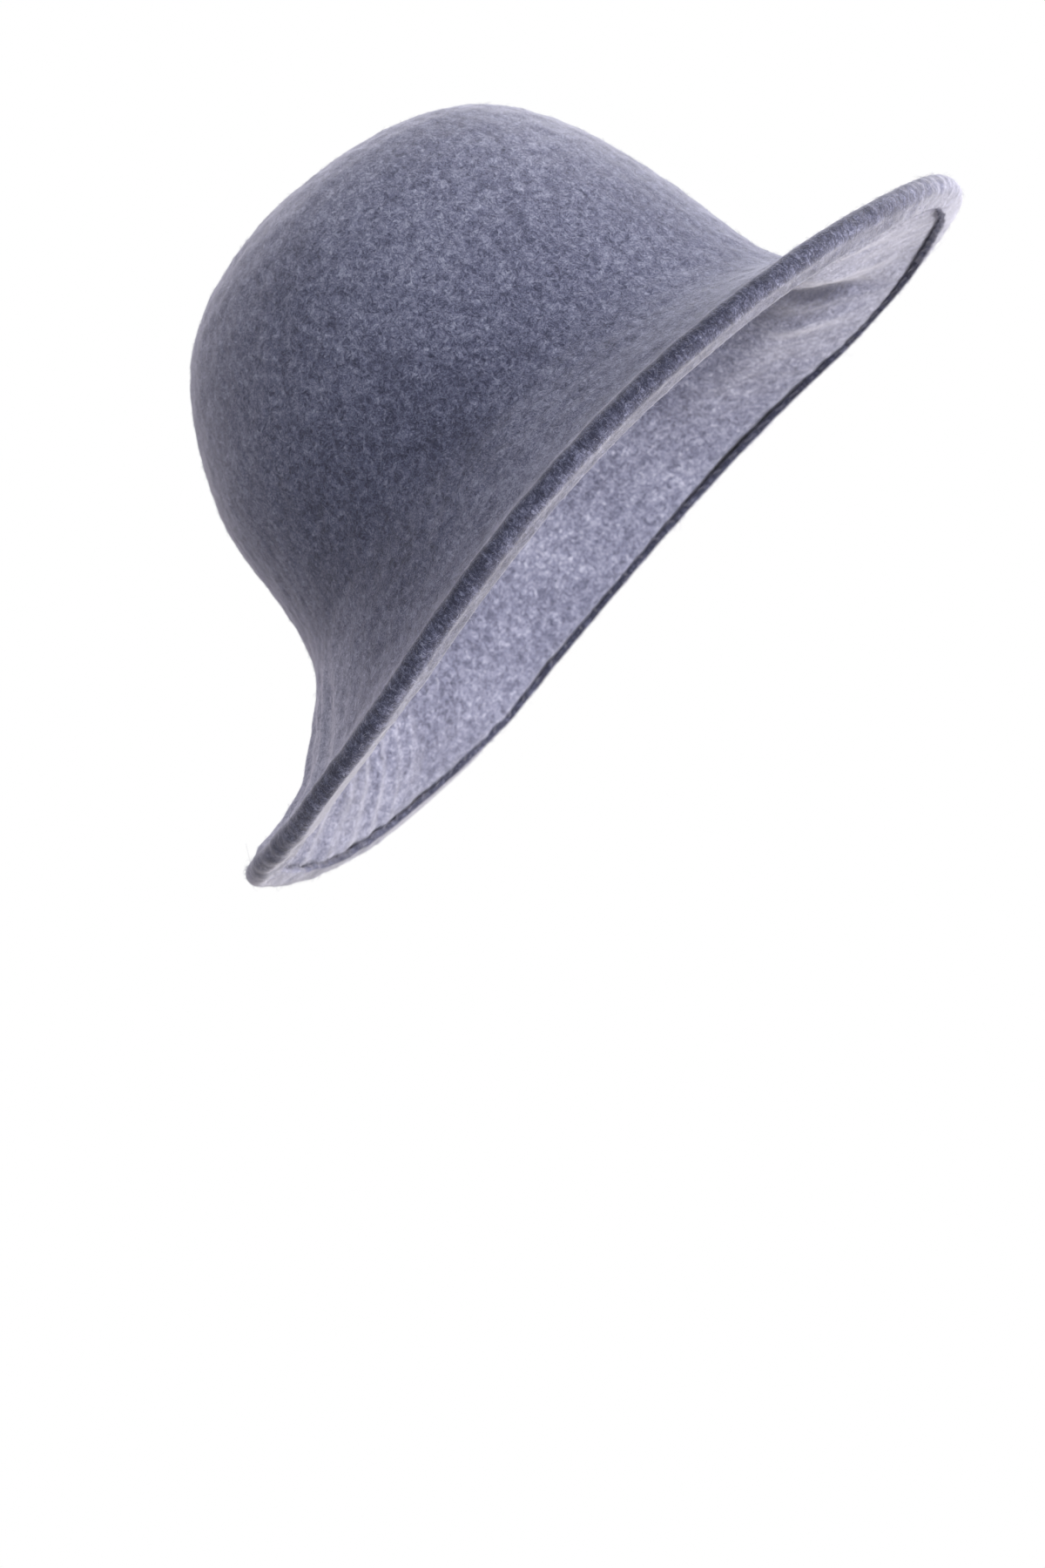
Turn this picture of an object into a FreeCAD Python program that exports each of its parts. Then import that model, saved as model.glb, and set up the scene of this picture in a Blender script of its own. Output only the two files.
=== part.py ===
import FreeCAD, Part
import math
import os

# Brimmed cloche-crown hat in blocked wool felt.
# Frame: millimetres, +Z up, the wearer faces -Y, the wearer's left is +X.
# Origin: centre of the brim outline, on the plane the hat rests on.
# Plan angles are in radians: 0 at the wearer's left, pi/2 at the back.

Vector = FreeCAD.Vector

# ---------------------------------------------------------------- dimensions
FELT = 2.7                     # thickness of the blocked felt
HEM_T = 7.8                    # height of the rolled hem at the brim edge
HEM_R = HEM_T / 2.0            # outer radius of the fold
HEM_IN_R = HEM_R - FELT        # inner radius of the fold, the tunnel of the wire
TUNNEL_WIDEN = 1.12            # horizontal stretch of the tunnel
HEM_TURN = 6.2                 # depth of the turned-under layer behind the fold centre
BRIM_HALF_LEN = 167.0          # centre of the hat to the front or back edge
BRIM_HALF_WID = 122.0          # centre of the hat to the side edge

FLEX_Y = -118.0                # line across the brim where the front leaf flexes
SLIT = 5.6                     # open strip at the flex line
SLIT_FRONT = FLEX_Y - SLIT / 2
SLIT_BACK = FLEX_Y + SLIT / 2
SLIT_CLEAR = 1.0               # wire and stitches stop this far from the slit
CUT_REACH = 200.0              # half width of the cutting slabs, beyond the hat

BACK = math.pi / 2             # plan angle of the centre back
COLUMNS = 72
ANGLES = [2 * math.pi * j / COLUMNS for j in range(COLUMNS)]

# Outer surface of the felt in its centre planes: distance from the centre
# (forward, backward or sideways) and height, from the top of the crown to the fold.
FRONT_LINE = [
    (-5, 166.6), (10, 164.9), (25, 161.9), (39, 158.6), (53.5, 154.2),
    (66.7, 147.5), (78.3, 138.4), (86.9, 126.3), (92.9, 112.9),
    (97.0, 99.3), (99.9, 85.8), (102.2, 72.5), (103.7, 59.6),
    (104.8, 49.0), (106.0, 40.0), (108.2, 31.5), (112.0, 24.8),
    (117.5, 19.8), (126.0, 15.8), (138.0, 12.1), (150.0, 9.3),
    (158.0, 7.85), (163.2, 7.3)]
BACK_LINE = [
    (5, 166.6), (13, 166.3), (20.7, 165.3), (28.4, 163.5), (35.8, 161.1),
    (43.2, 158.0), (50.5, 154.2), (57.2, 149.3), (63.0, 143.7),
    (68.2, 137.6), (72.6, 131.0), (76.5, 124.5), (80.4, 117.8),
    (84.0, 111.0), (86.9, 104.0), (89.0, 96.8), (90.4, 89.0),
    (91.3, 81.7), (92.1, 74.3), (93.3, 67.1), (95.0, 59.7),
    (97.2, 52.3), (100.6, 45.3), (105.3, 39.8), (112.5, 34.0),
    (121.9, 27.0), (131.0, 20.5), (139.0, 17.4), (149.0, 16.0),
    (158.0, 15.8), (163.2, 15.8)]
SIDE_LINE = [
    (0, 166.6), (10, 165.8), (20, 163.4), (35.5, 158.0), (49.8, 150.3),
    (58.5, 142.5), (65.5, 133.0), (70.5, 122.5), (74.6, 110.0),
    (77.6, 97.0), (79.6, 84.0), (81.3, 70.0), (82.9, 58.5),
    (85.2, 50.6), (88.5, 44.6), (92.6, 39.0), (97.0, 33.7),
    (101.5, 28.5), (105.6, 24.0), (108.8, 20.9), (111.3, 18.9),
    (113.6, 17.7), (116.0, 17.1), (118.1, 17.0)]

# Landmarks of each line: shoulder, neck, start of the brim.
FRONT_MARKS = [(78.3, 138.4), (105.0, 47.0), (117.5, 19.8)]
BACK_MARKS = [(60.5, 146.2), (98.5, 49.0), (118.0, 29.9)]
SIDE_MARKS = [(58.5, 142.5), (85.8, 49.3), (98.6, 31.8)]
STEPS = [10, 11, 7, 6]         # rows from the top to each landmark, then to the fold
NECK = STEPS[0] + STEPS[1]     # row of the neck, the head opening
ROWS = sum(STEPS) + 1          # rows from the top of the crown to the fold
FOLD = ROWS - 1                # row of the fold

# Height of the underside of the hem, at equal steps from front to back.
RIM_STEP = 15.0                # degrees
RIM_Z = [-0.5, 0.9, 2.5, 5.0, 8.5, 9.9, 9.2, 5.7, 1.3, -0.5, 0.8, 5.0, 8.0]


# ------------------------------------------------------------- hat surface
def lerp(a, b, f):
    return a + (b - a) * f


def resample(line, marks):
    """Points on a smooth curve through the line, evenly spaced between landmarks."""
    lengths = [0.0]
    for i in range(1, len(line)):
        lengths.append(lengths[-1] + math.dist(line[i - 1], line[i]))
    last = len(line) - 1
    total = lengths[-1]

    def point_at(s):
        """Cubic Hermite point at chord length s."""
        i = next((i for i in range(1, last) if s <= lengths[i]), last)
        before, after = max(i - 2, 0), min(i + 1, last)
        span = lengths[i] - lengths[i - 1]
        f = (s - lengths[i - 1]) / span
        point = []
        for c in range(2):
            start, end = line[i - 1][c], line[i][c]
            slope_start = (end - line[before][c]) / (lengths[i] - lengths[before])
            slope_end = (line[after][c] - start) / (lengths[after] - lengths[i - 1])
            point.append((2 * f ** 3 - 3 * f ** 2 + 1) * start
                         + (f ** 3 - 2 * f ** 2 + f) * span * slope_start
                         + (-2 * f ** 3 + 3 * f ** 2) * end
                         + (f ** 3 - f ** 2) * span * slope_end)
        return tuple(point)

    samples = [total * k / 4000.0 for k in range(4001)]
    sampled = [point_at(s) for s in samples]

    def nearest(mark):
        return samples[min(range(len(samples)), key=lambda k: math.dist(sampled[k], mark))]

    stops = [0.0] + [nearest(mark) for mark in marks] + [total]
    points = [point_at(0.0)]
    for k, n in enumerate(STEPS):
        for j in range(1, n + 1):
            points.append(point_at(lerp(stops[k], stops[k + 1], j / float(n))))
    return points


FRONT_ROWS = resample(FRONT_LINE, FRONT_MARKS)
BACK_ROWS = resample(BACK_LINE, BACK_MARKS)
SIDE_ROWS = resample(SIDE_LINE, SIDE_MARKS)


def rim_z(angle):
    """Height of the hem underside, a Catmull-Rom curve through RIM_Z."""
    from_front = abs(math.degrees(math.atan2(math.cos(angle), -math.sin(angle))))
    last = len(RIM_Z) - 1
    k = min(int(from_front / RIM_STEP), last - 1)
    f = from_front / RIM_STEP - k

    def mirrored(i):
        return RIM_Z[abs(i)] if i <= last else RIM_Z[2 * last - i]

    p0, p1, p2, p3 = [mirrored(k + i) for i in (-1, 0, 1, 2)]
    return 0.5 * (2 * p1 + (p2 - p0) * f + (2 * p0 - 5 * p1 + 4 * p2 - p3) * f ** 2
                  + (3 * p1 - p0 - 3 * p2 + p3) * f ** 3)


def blend(side, back, front, s):
    """Value around the hat from its side, back and front values; s is the angle's sine."""
    return side * (1 - s * s) + back * s * s * (1 + s) / 2 + front * s * s * (1 - s) / 2


def outer(row, angle):
    """Point of the outer surface on a row, which may be fractional."""
    i = min(int(row), ROWS - 2)
    (front_y, front_z), (back_y, back_z), (side_x, side_z) = [
        [lerp(line[i][c], line[i + 1][c], row - i) for c in range(2)]
        for line in (FRONT_ROWS, BACK_ROWS, SIDE_ROWS)]
    s = math.sin(angle)
    z = blend(side_z, back_z, front_z, s)
    # Ease the brim from the plain blend at the neck into the wavy rim at the fold.
    w = max(0.0, min(1.0, (row - NECK) / float(FOLD - NECK)))
    w = w * w * (3 - 2 * w)
    plain_rim = blend(RIM_Z[6] + HEM_T, RIM_Z[12] + HEM_T, RIM_Z[0] + HEM_T, s)
    z += w * (rim_z(angle) + HEM_T - plain_rim)
    y = (back_y - front_y) / 2.0 + (back_y + front_y) / 2.0 * s
    return Vector(side_x * math.cos(angle), y, z)


def along_row(row, angle):
    return outer(row, angle + 0.01) - outer(row, angle - 0.01)


def normal(row, angle):
    """Outward normal of the felt, kept off the apex and the fold."""
    row = min(max(row, 0.5), ROWS - 1.3)
    down = outer(row + 0.25, angle) - outer(row - 0.25, angle)
    return down.cross(along_row(row, angle)).normalize()


def felt(row, angle, depth):
    """Point at a depth inside the outer surface of the felt."""
    return outer(row, angle) + normal(row, angle) * -depth


def hem(angle, along, up):
    """Point near the brim edge: along is outward of the fold centre, up from the underside."""
    d = along_row(FOLD, angle)
    outward = Vector(d.y, -d.x, 0.0).normalize()
    p = outer(FOLD, angle) + outward * along
    return Vector(p.x, p.y, rim_z(angle) + up)


# ---------------------------------------------------------------- shape builders
def bspline_solid(rows, closed_rows):
    """Solid inside one cubic surface with rows of points as poles, closed around the columns."""
    n, m = len(rows), len(rows[0])
    row_mults = [1] * (n + 1) if closed_rows else [4] + [1] * (n - 4) + [4]
    surface = Part.BSplineSurface()
    surface.buildFromPolesMultsKnots(
        rows, row_mults, [1] * (m + 1),
        [float(i) for i in range(len(row_mults))],
        [float(i) for i in range(m + 1)],
        closed_rows, True, 3, 3)
    solid = Part.Solid(Part.Shell([surface.toShape()]))
    if solid.Volume < 0:
        solid.reverse()
    return solid


def slab(y_back, z_low, z_high):
    """Box from ahead of the hat back to y_back, wider than the hat."""
    return Part.makeBox(2 * CUT_REACH, y_back + CUT_REACH, z_high - z_low,
                        Vector(-CUT_REACH, -CUT_REACH, z_low))


def tube_along(points, radius):
    """Round rod whose centreline runs through the points."""
    curve = Part.BSplineCurve()
    curve.interpolate(Points=points, PeriodicFlag=False)
    start = curve.FirstParameter
    circle = Part.makeCircle(radius, curve.value(start), curve.tangent(start)[0])
    spine = Part.Wire([curve.toShape()])
    return spine.makePipeShell([Part.Wire([circle])], True, True)


def thread_bar(start, end, radius):
    d = end - start
    return Part.makeCylinder(radius, d.Length, start, d)


def biggest(shape):
    return max(shape.Solids, key=lambda s: s.Volume)


# ------------------------------------------------------------------ felt body
def make_whole_felt():
    """Crown, brim and rolled hem in one piece, trimmed flat at the resting plane."""
    apex = outer(0, 0.0)
    rows = [[apex] * COLUMNS]
    for k in range(1, FOLD):
        rows.append([outer(k, t) for t in ANGLES])

    def hem_row(along, up):
        rows.append([hem(t, along, up) for t in ANGLES])

    for degrees in range(0, 176, 25):              # around the fold, outside
        a = math.radians(degrees)
        hem_row(HEM_R * math.sin(a), HEM_R + HEM_R * math.cos(a))
    turned = (2.0, 4.0, 5.5)                       # stations along the turned layer
    for d in turned:
        hem_row(-d, 0.0)
    for d, up in ((HEM_TURN - 0.1, 0.12), (HEM_TURN, 0.8),
                  (HEM_TURN, 2.0), (HEM_TURN - 0.1, FELT - 0.12)):   # raw edge
        hem_row(-d, up)
    for d in reversed(turned):
        hem_row(-d, FELT)
    for degrees in (175, 130, 85, 40, 5):          # around the fold, inside
        a = math.radians(degrees)
        hem_row(HEM_IN_R * TUNNEL_WIDEN * math.sin(a), HEM_R + HEM_IN_R * math.cos(a))
    for k in range(FOLD - 1, 0, -1):
        rows.append([felt(k, t, FELT) for t in ANGLES])
    rows.append([apex - Vector(0, 0, FELT)] * COLUMNS)
    return bspline_solid(rows, False).cut(slab(CUT_REACH, -5, 0))


def make_felt_hood(whole):
    """Crown with the brim behind the slit."""
    return biggest(whole.cut(slab(SLIT_BACK, -20, 60)))


def make_felt_brim_front(whole):
    """Front leaf of the brim, ahead of the slit."""
    return biggest(whole.common(slab(SLIT_FRONT, -20, 80)))


# ----------------------------------------------------------------- wire in hem
WIRE_D = 1.2              # millinery wire
WIRE_GAP = 1.2            # gap between the two wire ends at the centre back
WIRE_IN = -0.8            # wire centre relative to the fold centre
JOINER_OD = 1.84          # crimped tube over the wire ends
JOINER_ID = 1.26
JOINER_LEN = 22.0
# Nominal radii that turn lengths at the centre back into plan angles.
GAP_RADIUS = BRIM_HALF_WID * 0.9
JOINER_RADIUS = BRIM_HALF_WID * 0.98


def angle_at_y(y):
    """Plan angle at which the wire line crosses y on the +X side."""
    low, high = -math.pi / 2, math.pi / 2
    for _ in range(60):
        mid = (low + high) / 2
        if hem(mid, WIRE_IN, 0)[1] < y:
            low = mid
        else:
            high = mid
    return (low + high) / 2


def hem_tube(start, end, diameter, spans=48):
    """Tube in the hem tunnel between two plan angles."""
    points = [hem(lerp(start, end, i / float(spans)), WIRE_IN, HEM_R)
              for i in range(spans + 1)]
    return tube_along(points, diameter / 2)


def make_edge_wire():
    """Two wires from the slit to the gap at the centre back, left then right."""
    slit_end = angle_at_y(SLIT_BACK + SLIT_CLEAR)
    half_gap = (WIRE_GAP / 2) / GAP_RADIUS
    wires = [hem_tube(slit_end, BACK - half_gap, WIRE_D),
             hem_tube(BACK + half_gap, math.pi - slit_end, WIRE_D)]
    # Guards against a sweep that comes back as a shell.
    return Part.makeCompound([Part.Solid(w) if w.ShapeType == "Shell" else w for w in wires])


def make_edge_wire_front():
    slit_end = angle_at_y(SLIT_FRONT - SLIT_CLEAR)
    return hem_tube(math.pi - slit_end, 2 * math.pi + slit_end, WIRE_D)


def make_wire_joiner():
    half = (JOINER_LEN / 2) / JOINER_RADIUS
    bore = half * 1.1         # runs past both ends of the tube
    return hem_tube(BACK - half, BACK + half, JOINER_OD, 12).cut(
        hem_tube(BACK - bore, BACK + bore, JOINER_ID, 12))


# -------------------------------------------------------- hand stitches in hem
HEM_PITCH = 8.0           # nominal pitch of the stitches
HEM_THREAD_R = 0.28
HEM_SLANT = 0.9           # nominal half advance of a stitch around the brim
HEM_THREAD_UP = 1.4       # height of the lower end above the hem underside


def brim_under(angle, inboard):
    """Underside of the brim at a distance inboard of the fold centre."""
    edge = outer(FOLD, angle)
    row = float(FOLD)
    while row > NECK + 2:
        p = felt(row, angle, FELT)
        if math.hypot(p.x - edge.x, p.y - edge.y) >= inboard:
            return p
        row -= 0.02
    return p


def make_hem_stitches():
    """Slanted bars that fell the raw edge of the hem to the brim: back and front sets."""
    perimeter = 2 * math.pi * math.sqrt((BRIM_HALF_LEN ** 2 + BRIM_HALF_WID ** 2) / 2)
    count = int(perimeter / HEM_PITCH)
    slant = HEM_SLANT / BRIM_HALF_LEN
    back, front = [], []
    for j in range(count):
        angle = 2 * math.pi * (j + 0.5) / count
        start = hem(angle - slant, -(HEM_TURN + HEM_THREAD_R + 0.3), HEM_THREAD_UP)
        end = brim_under(angle + slant, HEM_TURN + 1.2)
        end.z = end.z - HEM_THREAD_R - 0.45
        bar = thread_bar(start, end, HEM_THREAD_R)
        if max(start.y, end.y) < SLIT_FRONT - SLIT_CLEAR:
            front.append(bar)
        elif min(start.y, end.y) > SLIT_BACK + SLIT_CLEAR:
            back.append(bar)
    return Part.makeCompound(back), Part.makeCompound(front)


# ----------------------------------------------------------------- sweatband
BAND_H = 25.0                       # petersham sweatband height
BAND_T = 0.8                        # sweatband thickness
BAND_AIR = 0.15                     # clearance between sweatband and felt
BAND_OUT = FELT + BAND_AIR          # depth of the outer face of the sweatband
BAND_IN = BAND_OUT + BAND_T         # depth of the inner face
BAND_SPANS = 6                      # spans of the surface up each face

BAND_STITCHES = 56
BAND_STITCH_H = 1.8                 # height of the running stitch on the band
BAND_STITCH_HALF = 0.026            # half length of a stitch, radians
BAND_THREAD_R = 0.2


def wall_row(h, angle):
    """Row of the felt h millimetres up the crown wall from the head opening."""
    return NECK - h / blend(9.1, 9.6, 8.7, math.sin(angle))     # millimetres per row


def make_sweatband():
    """Closed band that follows the inner face of the felt."""
    heights = [BAND_H * i / BAND_SPANS for i in range(BAND_SPANS + 1)]
    middle = (BAND_OUT + BAND_IN) / 2
    section = [(h, BAND_OUT) for h in heights] + [(BAND_H, middle)]
    section += [(h, BAND_IN) for h in reversed(heights)] + [(0.0, middle)]
    return bspline_solid([[felt(wall_row(h, t), t, depth) for t in ANGLES]
                          for h, depth in section], True)


def make_sweatband_stitches():
    bars = []
    for j in range(BAND_STITCHES):
        middle = 2 * math.pi * (j + 0.5) / BAND_STITCHES
        start, end = [felt(wall_row(BAND_STITCH_H, t), t, BAND_IN + 0.4)
                      for t in (middle - BAND_STITCH_HALF, middle + BAND_STITCH_HALF)]
        bars.append(thread_bar(start, end, BAND_THREAD_R))
    return Part.makeCompound(bars)


# ------------------------------------------------- flat frames on the crown wall
WALL_RADIUS = 90.0        # nominal radius that turns lengths round the wall into angles


def wall_point(angle, x, h, depth):
    """Point x around the wall from a plan angle, h up from the opening, depth into the felt."""
    t = angle + x / WALL_RADIUS
    return felt(wall_row(h, t), t, depth)


class Frame:
    """Local axes: around the wall, up the wall and inward."""

    def __init__(self, origin, around, up):
        self.origin = origin
        self.around = around
        self.inward = up.cross(around).normalize()
        self.up = around.cross(self.inward).normalize()

    def point(self, x, h, d):
        return self.origin + self.around * x + self.up * h + self.inward * d


def wall_frame(angle, x, h, depth):
    """Frame that lies against the wall at a wall point."""
    up = wall_point(angle, x, h + 4, depth) - wall_point(angle, x, h - 4, depth)
    around = wall_point(angle, x + 3, h, depth) - wall_point(angle, x - 3, h, depth)
    around.z = 0.0
    return Frame(wall_point(angle, x, h, depth), around.normalize(), up.normalize())


def block(frame, half_width, h0, h1, d0, d1, radius):
    """Flat block in a frame, with its upright edges rounded."""
    corners = ((-half_width, d0), (half_width, d0), (half_width, d1), (-half_width, d1))
    points = [frame.point(x, h0, d) for x, d in corners]
    solid = Part.Face(Part.makePolygon(points + [points[0]])).extrude(frame.up * (h1 - h0))
    upright = [e for e in solid.Edges
               if abs(abs(e.tangentAt(e.FirstParameter).dot(frame.up)) - 1) < 1e-6]
    return solid.makeFillet(radius, upright)


# ------------------------- small flat bow inside the sweatband, at the centre back
BOW_H0 = 8.0              # lower edge above the head opening
BOW_WIDTH = 9.0           # height of the ribbon
LOOP_X = 13.7             # centre of each loop from the knot
LOOP_HALF = 9.0           # half length of a loop
LOOP_FAT = 1.75           # half thickness that sets the fullness of a loop
LOOP_POINTS = 28
RIBBON_T = 0.5
LOOP_CUT_OVER = 1.0       # the hollow runs past both edges of the ribbon
KNOT_HALF = 1.9           # half width of the knot
KNOT_OVER = 0.4           # knot beyond each edge of the ribbon


def loop_prism(frame, side, inset, over):
    """Solid loop outline, narrower toward the knot, run past both ribbon edges."""
    points = []
    for i in range(LOOP_POINTS):
        a = 2 * math.pi * i / LOOP_POINTS
        x = -(LOOP_HALF - inset) * math.cos(a)
        taper = 0.62 + 0.38 * (1 - math.cos(a)) / 2
        depth = (LOOP_FAT - inset) * math.sin(a) * taper
        points.append(frame.point(side * x, -over, depth))
    curve = Part.BSplineCurve()
    curve.interpolate(Points=points, PeriodicFlag=True)
    face = Part.Face(Part.Wire([curve.toShape()]))
    return face.extrude(frame.up * (BOW_WIDTH + 2 * over))


def make_bow_loops():
    loops = []
    for side in (-1, 1):
        frame = wall_frame(BACK, side * LOOP_X, BOW_H0, BAND_IN + 0.3 + LOOP_FAT)
        outside = loop_prism(frame, side, 0.0, 0.0)
        hollow = loop_prism(frame, side, RIBBON_T, LOOP_CUT_OVER)
        loops.append(biggest(outside.cut(hollow)))
    return Part.makeCompound(loops)


def make_bow_knot():
    frame = wall_frame(BACK, 0.0, BOW_H0, BAND_IN)
    return block(frame, KNOT_HALF, -KNOT_OVER, BOW_WIDTH + KNOT_OVER,
                 d0=0.25, d1=4.6, radius=0.8)


# -------------------------------------------------------------------- labels
TAB_ANGLE = math.radians(118)       # folded size tab, back right
TAB_W = 12.0
TAB_H = 15.0
TAB_T = 1.2
TAB_OFF = 0.75                      # gap between tab and felt

LABEL_ANGLE = math.radians(62)      # care label, back left
LABEL_W = 22.0
LABEL_H = 30.0
LABEL_T = 0.45
LABEL_H0 = BAND_H + 1.2             # lower edge above the head opening
LABEL_DEPTH = FELT + 1.5
LABEL_CORNER = 1.5                  # chamfer of the upper corners

LABEL_STITCH_DROP = 1.6             # stitches below the top of the sweatband
LABEL_STITCH_HALF = 0.9
LABEL_STITCH_MARGIN = 1.5           # end stitch centres from the label sides
LABEL_THREAD_R = 0.18


def make_size_tab():
    frame = wall_frame(TAB_ANGLE, 0.0, BAND_H + 1.0, FELT)
    return block(frame, TAB_W / 2, 0.0, TAB_H, TAB_OFF, TAB_OFF + TAB_T, radius=0.5)


def make_care_label():
    base = wall_frame(LABEL_ANGLE, 0.0, LABEL_H0, LABEL_DEPTH)
    # Tilt the frame so that the top of the label meets the wall line as well.
    top = wall_point(LABEL_ANGLE, 0, LABEL_H0 + LABEL_H, LABEL_DEPTH)
    frame = Frame(base.origin, base.around, (top - base.origin).normalize())
    half, shoulder = LABEL_W / 2, LABEL_H - LABEL_CORNER
    outline = [frame.point(x, h, 0.0) for x, h in (
        (-half, 0), (half, 0), (half, shoulder),
        (half - LABEL_CORNER, LABEL_H), (-half + LABEL_CORNER, LABEL_H), (-half, shoulder))]
    face = Part.Face(Part.makePolygon(outline + [outline[0]]))
    return face.extrude(frame.inward * LABEL_T)


def make_label_stitches():
    """Rows of short stitches on the sweatband below the tab and the label."""
    bars = []
    for angle, width, count in ((TAB_ANGLE, TAB_W, 4), (LABEL_ANGLE, LABEL_W, 6)):
        end_x = width / 2 - LABEL_STITCH_MARGIN
        for j in range(count):
            middle = lerp(-end_x, end_x, j / float(count - 1))
            start, end = [wall_point(angle, x, BAND_H - LABEL_STITCH_DROP, BAND_IN + 0.36)
                          for x in (middle - LABEL_STITCH_HALF, middle + LABEL_STITCH_HALF)]
            bars.append(thread_bar(start, end, LABEL_THREAD_R))
    return Part.makeCompound(bars)


# -------------------------------------------------------------------- export
whole_felt = make_whole_felt()
hem_stitches, hem_stitches_front = make_hem_stitches()

PARTS = {
    "felt_hood": make_felt_hood(whole_felt),
    "felt_brim_front": make_felt_brim_front(whole_felt),
    "edge_wire": make_edge_wire(),
    "edge_wire_front": make_edge_wire_front(),
    "wire_joiner": make_wire_joiner(),
    "hem_stitches": hem_stitches,
    "hem_stitches_front": hem_stitches_front,
    "sweatband": make_sweatband(),
    "sweatband_stitches": make_sweatband_stitches(),
    "bow_loops": make_bow_loops(),
    "bow_knot": make_bow_knot(),
    "size_tab": make_size_tab(),
    "care_label": make_care_label(),
    "label_stitches": make_label_stitches(),
}

os.makedirs("parts", exist_ok=True)
for name, shape in PARTS.items():
    shape.exportStep("parts/%s.step" % name)
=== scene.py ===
import math

import bpy
import numpy as np
from mathutils import Matrix, Vector


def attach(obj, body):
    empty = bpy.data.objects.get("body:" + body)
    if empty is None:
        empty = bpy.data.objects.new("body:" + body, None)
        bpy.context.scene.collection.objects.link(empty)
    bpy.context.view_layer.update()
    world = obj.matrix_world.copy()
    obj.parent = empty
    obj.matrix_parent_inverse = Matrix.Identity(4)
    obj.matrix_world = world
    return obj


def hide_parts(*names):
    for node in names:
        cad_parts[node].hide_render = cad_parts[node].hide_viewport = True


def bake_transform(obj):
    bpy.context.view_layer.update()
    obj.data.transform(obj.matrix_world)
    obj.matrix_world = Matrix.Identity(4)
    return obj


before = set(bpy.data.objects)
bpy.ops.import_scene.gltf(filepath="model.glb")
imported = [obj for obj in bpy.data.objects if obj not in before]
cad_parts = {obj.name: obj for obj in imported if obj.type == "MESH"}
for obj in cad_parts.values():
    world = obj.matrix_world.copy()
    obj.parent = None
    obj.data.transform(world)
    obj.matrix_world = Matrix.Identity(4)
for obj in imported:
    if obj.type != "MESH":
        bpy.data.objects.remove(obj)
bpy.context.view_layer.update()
RNG = np.random.default_rng(57)
MM = 0.001

# =====================================================================
# Hat form: the same outer surface as the CAD felt, in millimetres
# =====================================================================
FELT, HEM_T, HEM_TURN = 2.7, 7.8, 6.2
HEM_R = HEM_T / 2
HEM_IN_R = HEM_R - FELT
FRONT = [(-5, 166.6), (10, 164.9), (25, 161.9), (39, 158.6), (53.5, 154.2), (66.7, 147.5), (78.3, 138.4), (86.9, 126.3), (92.9, 112.9),
         (97, 99.3), (99.9, 85.8), (102.2, 72.5), (103.7, 59.6), (104.8, 49), (106, 40), (108.2, 31.5), (112, 24.8), (117.5, 19.8),
         (126, 15.8), (138, 12.1), (150, 9.3), (158, 7.85), (163.2, 7.3)]
BACK = [(5, 166.6), (13, 166.3), (20.7, 165.3), (28.4, 163.5), (35.8, 161.1), (43.2, 158), (50.5, 154.2), (57.2, 149.3), (63, 143.7),
        (68.2, 137.6), (72.6, 131), (76.5, 124.5), (80.4, 117.8), (84, 111), (86.9, 104), (89, 96.8), (90.4, 89), (91.3, 81.7),
        (92.1, 74.3), (93.3, 67.1), (95, 59.7), (97.2, 52.3), (100.6, 45.3), (105.3, 39.8), (112.5, 34), (121.9, 27), (131, 20.5),
        (139, 17.4), (149, 16), (158, 15.8), (163.2, 15.8)]
SIDE = [(0, 166.6), (10, 165.8), (20, 163.4), (35.5, 158), (49.8, 150.3), (58.5, 142.5), (65.5, 133), (70.5, 122.5), (74.6, 110),
        (77.6, 97), (79.6, 84), (81.3, 70), (82.9, 58.5), (85.2, 50.6), (88.5, 44.6), (92.6, 39), (97, 33.7), (101.5, 28.5),
        (105.6, 24), (108.8, 20.9), (111.3, 18.9), (113.6, 17.7), (116, 17.1), (118.1, 17)]
MARKS = ([(78.3, 138.4), (105.0, 47.0), (117.5, 19.8), (163.2, 7.3)],
         [(60.5, 146.2), (98.5, 49.0), (118.0, 29.9), (163.2, 15.8)],
         [(58.5, 142.5), (85.8, 49.3), (98.6, 31.8), (118.1, 17.0)])
STEPS = [10, 11, 7, 6]
RIM_Z = np.array([-0.5, 0.9, 2.5, 5.0, 8.5, 9.9, 9.2, 5.7, 1.3, -0.5, 0.8, 5.0, 8.0])


def resample(line, marks):
    line = np.array(line, float)
    acc = np.r_[0, np.cumsum(np.hypot(*np.diff(line, axis=0).T))]
    m = np.zeros_like(line)
    m[1:-1] = (line[2:] - line[:-2]) / (acc[2:] - acc[:-2])[:, None]
    m[0] = (line[1] - line[0]) / (acc[1] - acc[0])
    m[-1] = (line[-1] - line[-2]) / (acc[-1] - acc[-2])

    def at(s):
        s = np.atleast_1d(s)
        i = np.clip(np.searchsorted(acc, s, side="right") - 1, 0, len(line) - 2)
        h = acc[i + 1] - acc[i]
        f = ((s - acc[i]) / h)[:, None]
        h = h[:, None]
        return ((2 * f ** 3 - 3 * f ** 2 + 1) * line[i] + (f ** 3 - 2 * f ** 2 + f) * h * m[i]
                + (-2 * f ** 3 + 3 * f ** 2) * line[i + 1] + (f ** 3 - f ** 2) * h * m[i + 1])

    ss = np.linspace(0, acc[-1], 4001)
    pp = at(ss)
    stops = [0.0] + [ss[np.argmin(np.hypot(*(pp - np.array(q)).T))] for q in marks[:-1]] + [acc[-1]]
    s = [0.0]
    for k, n in enumerate(STEPS):
        s += [stops[k] + (stops[k + 1] - stops[k]) * j / n for j in range(1, n + 1)]
    return at(np.array(s))


F, B, S = (resample(l, m) for l, m in zip((FRONT, BACK, SIDE), MARKS))
ROWS = len(F)
NECK = STEPS[0] + STEPS[1]


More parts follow.
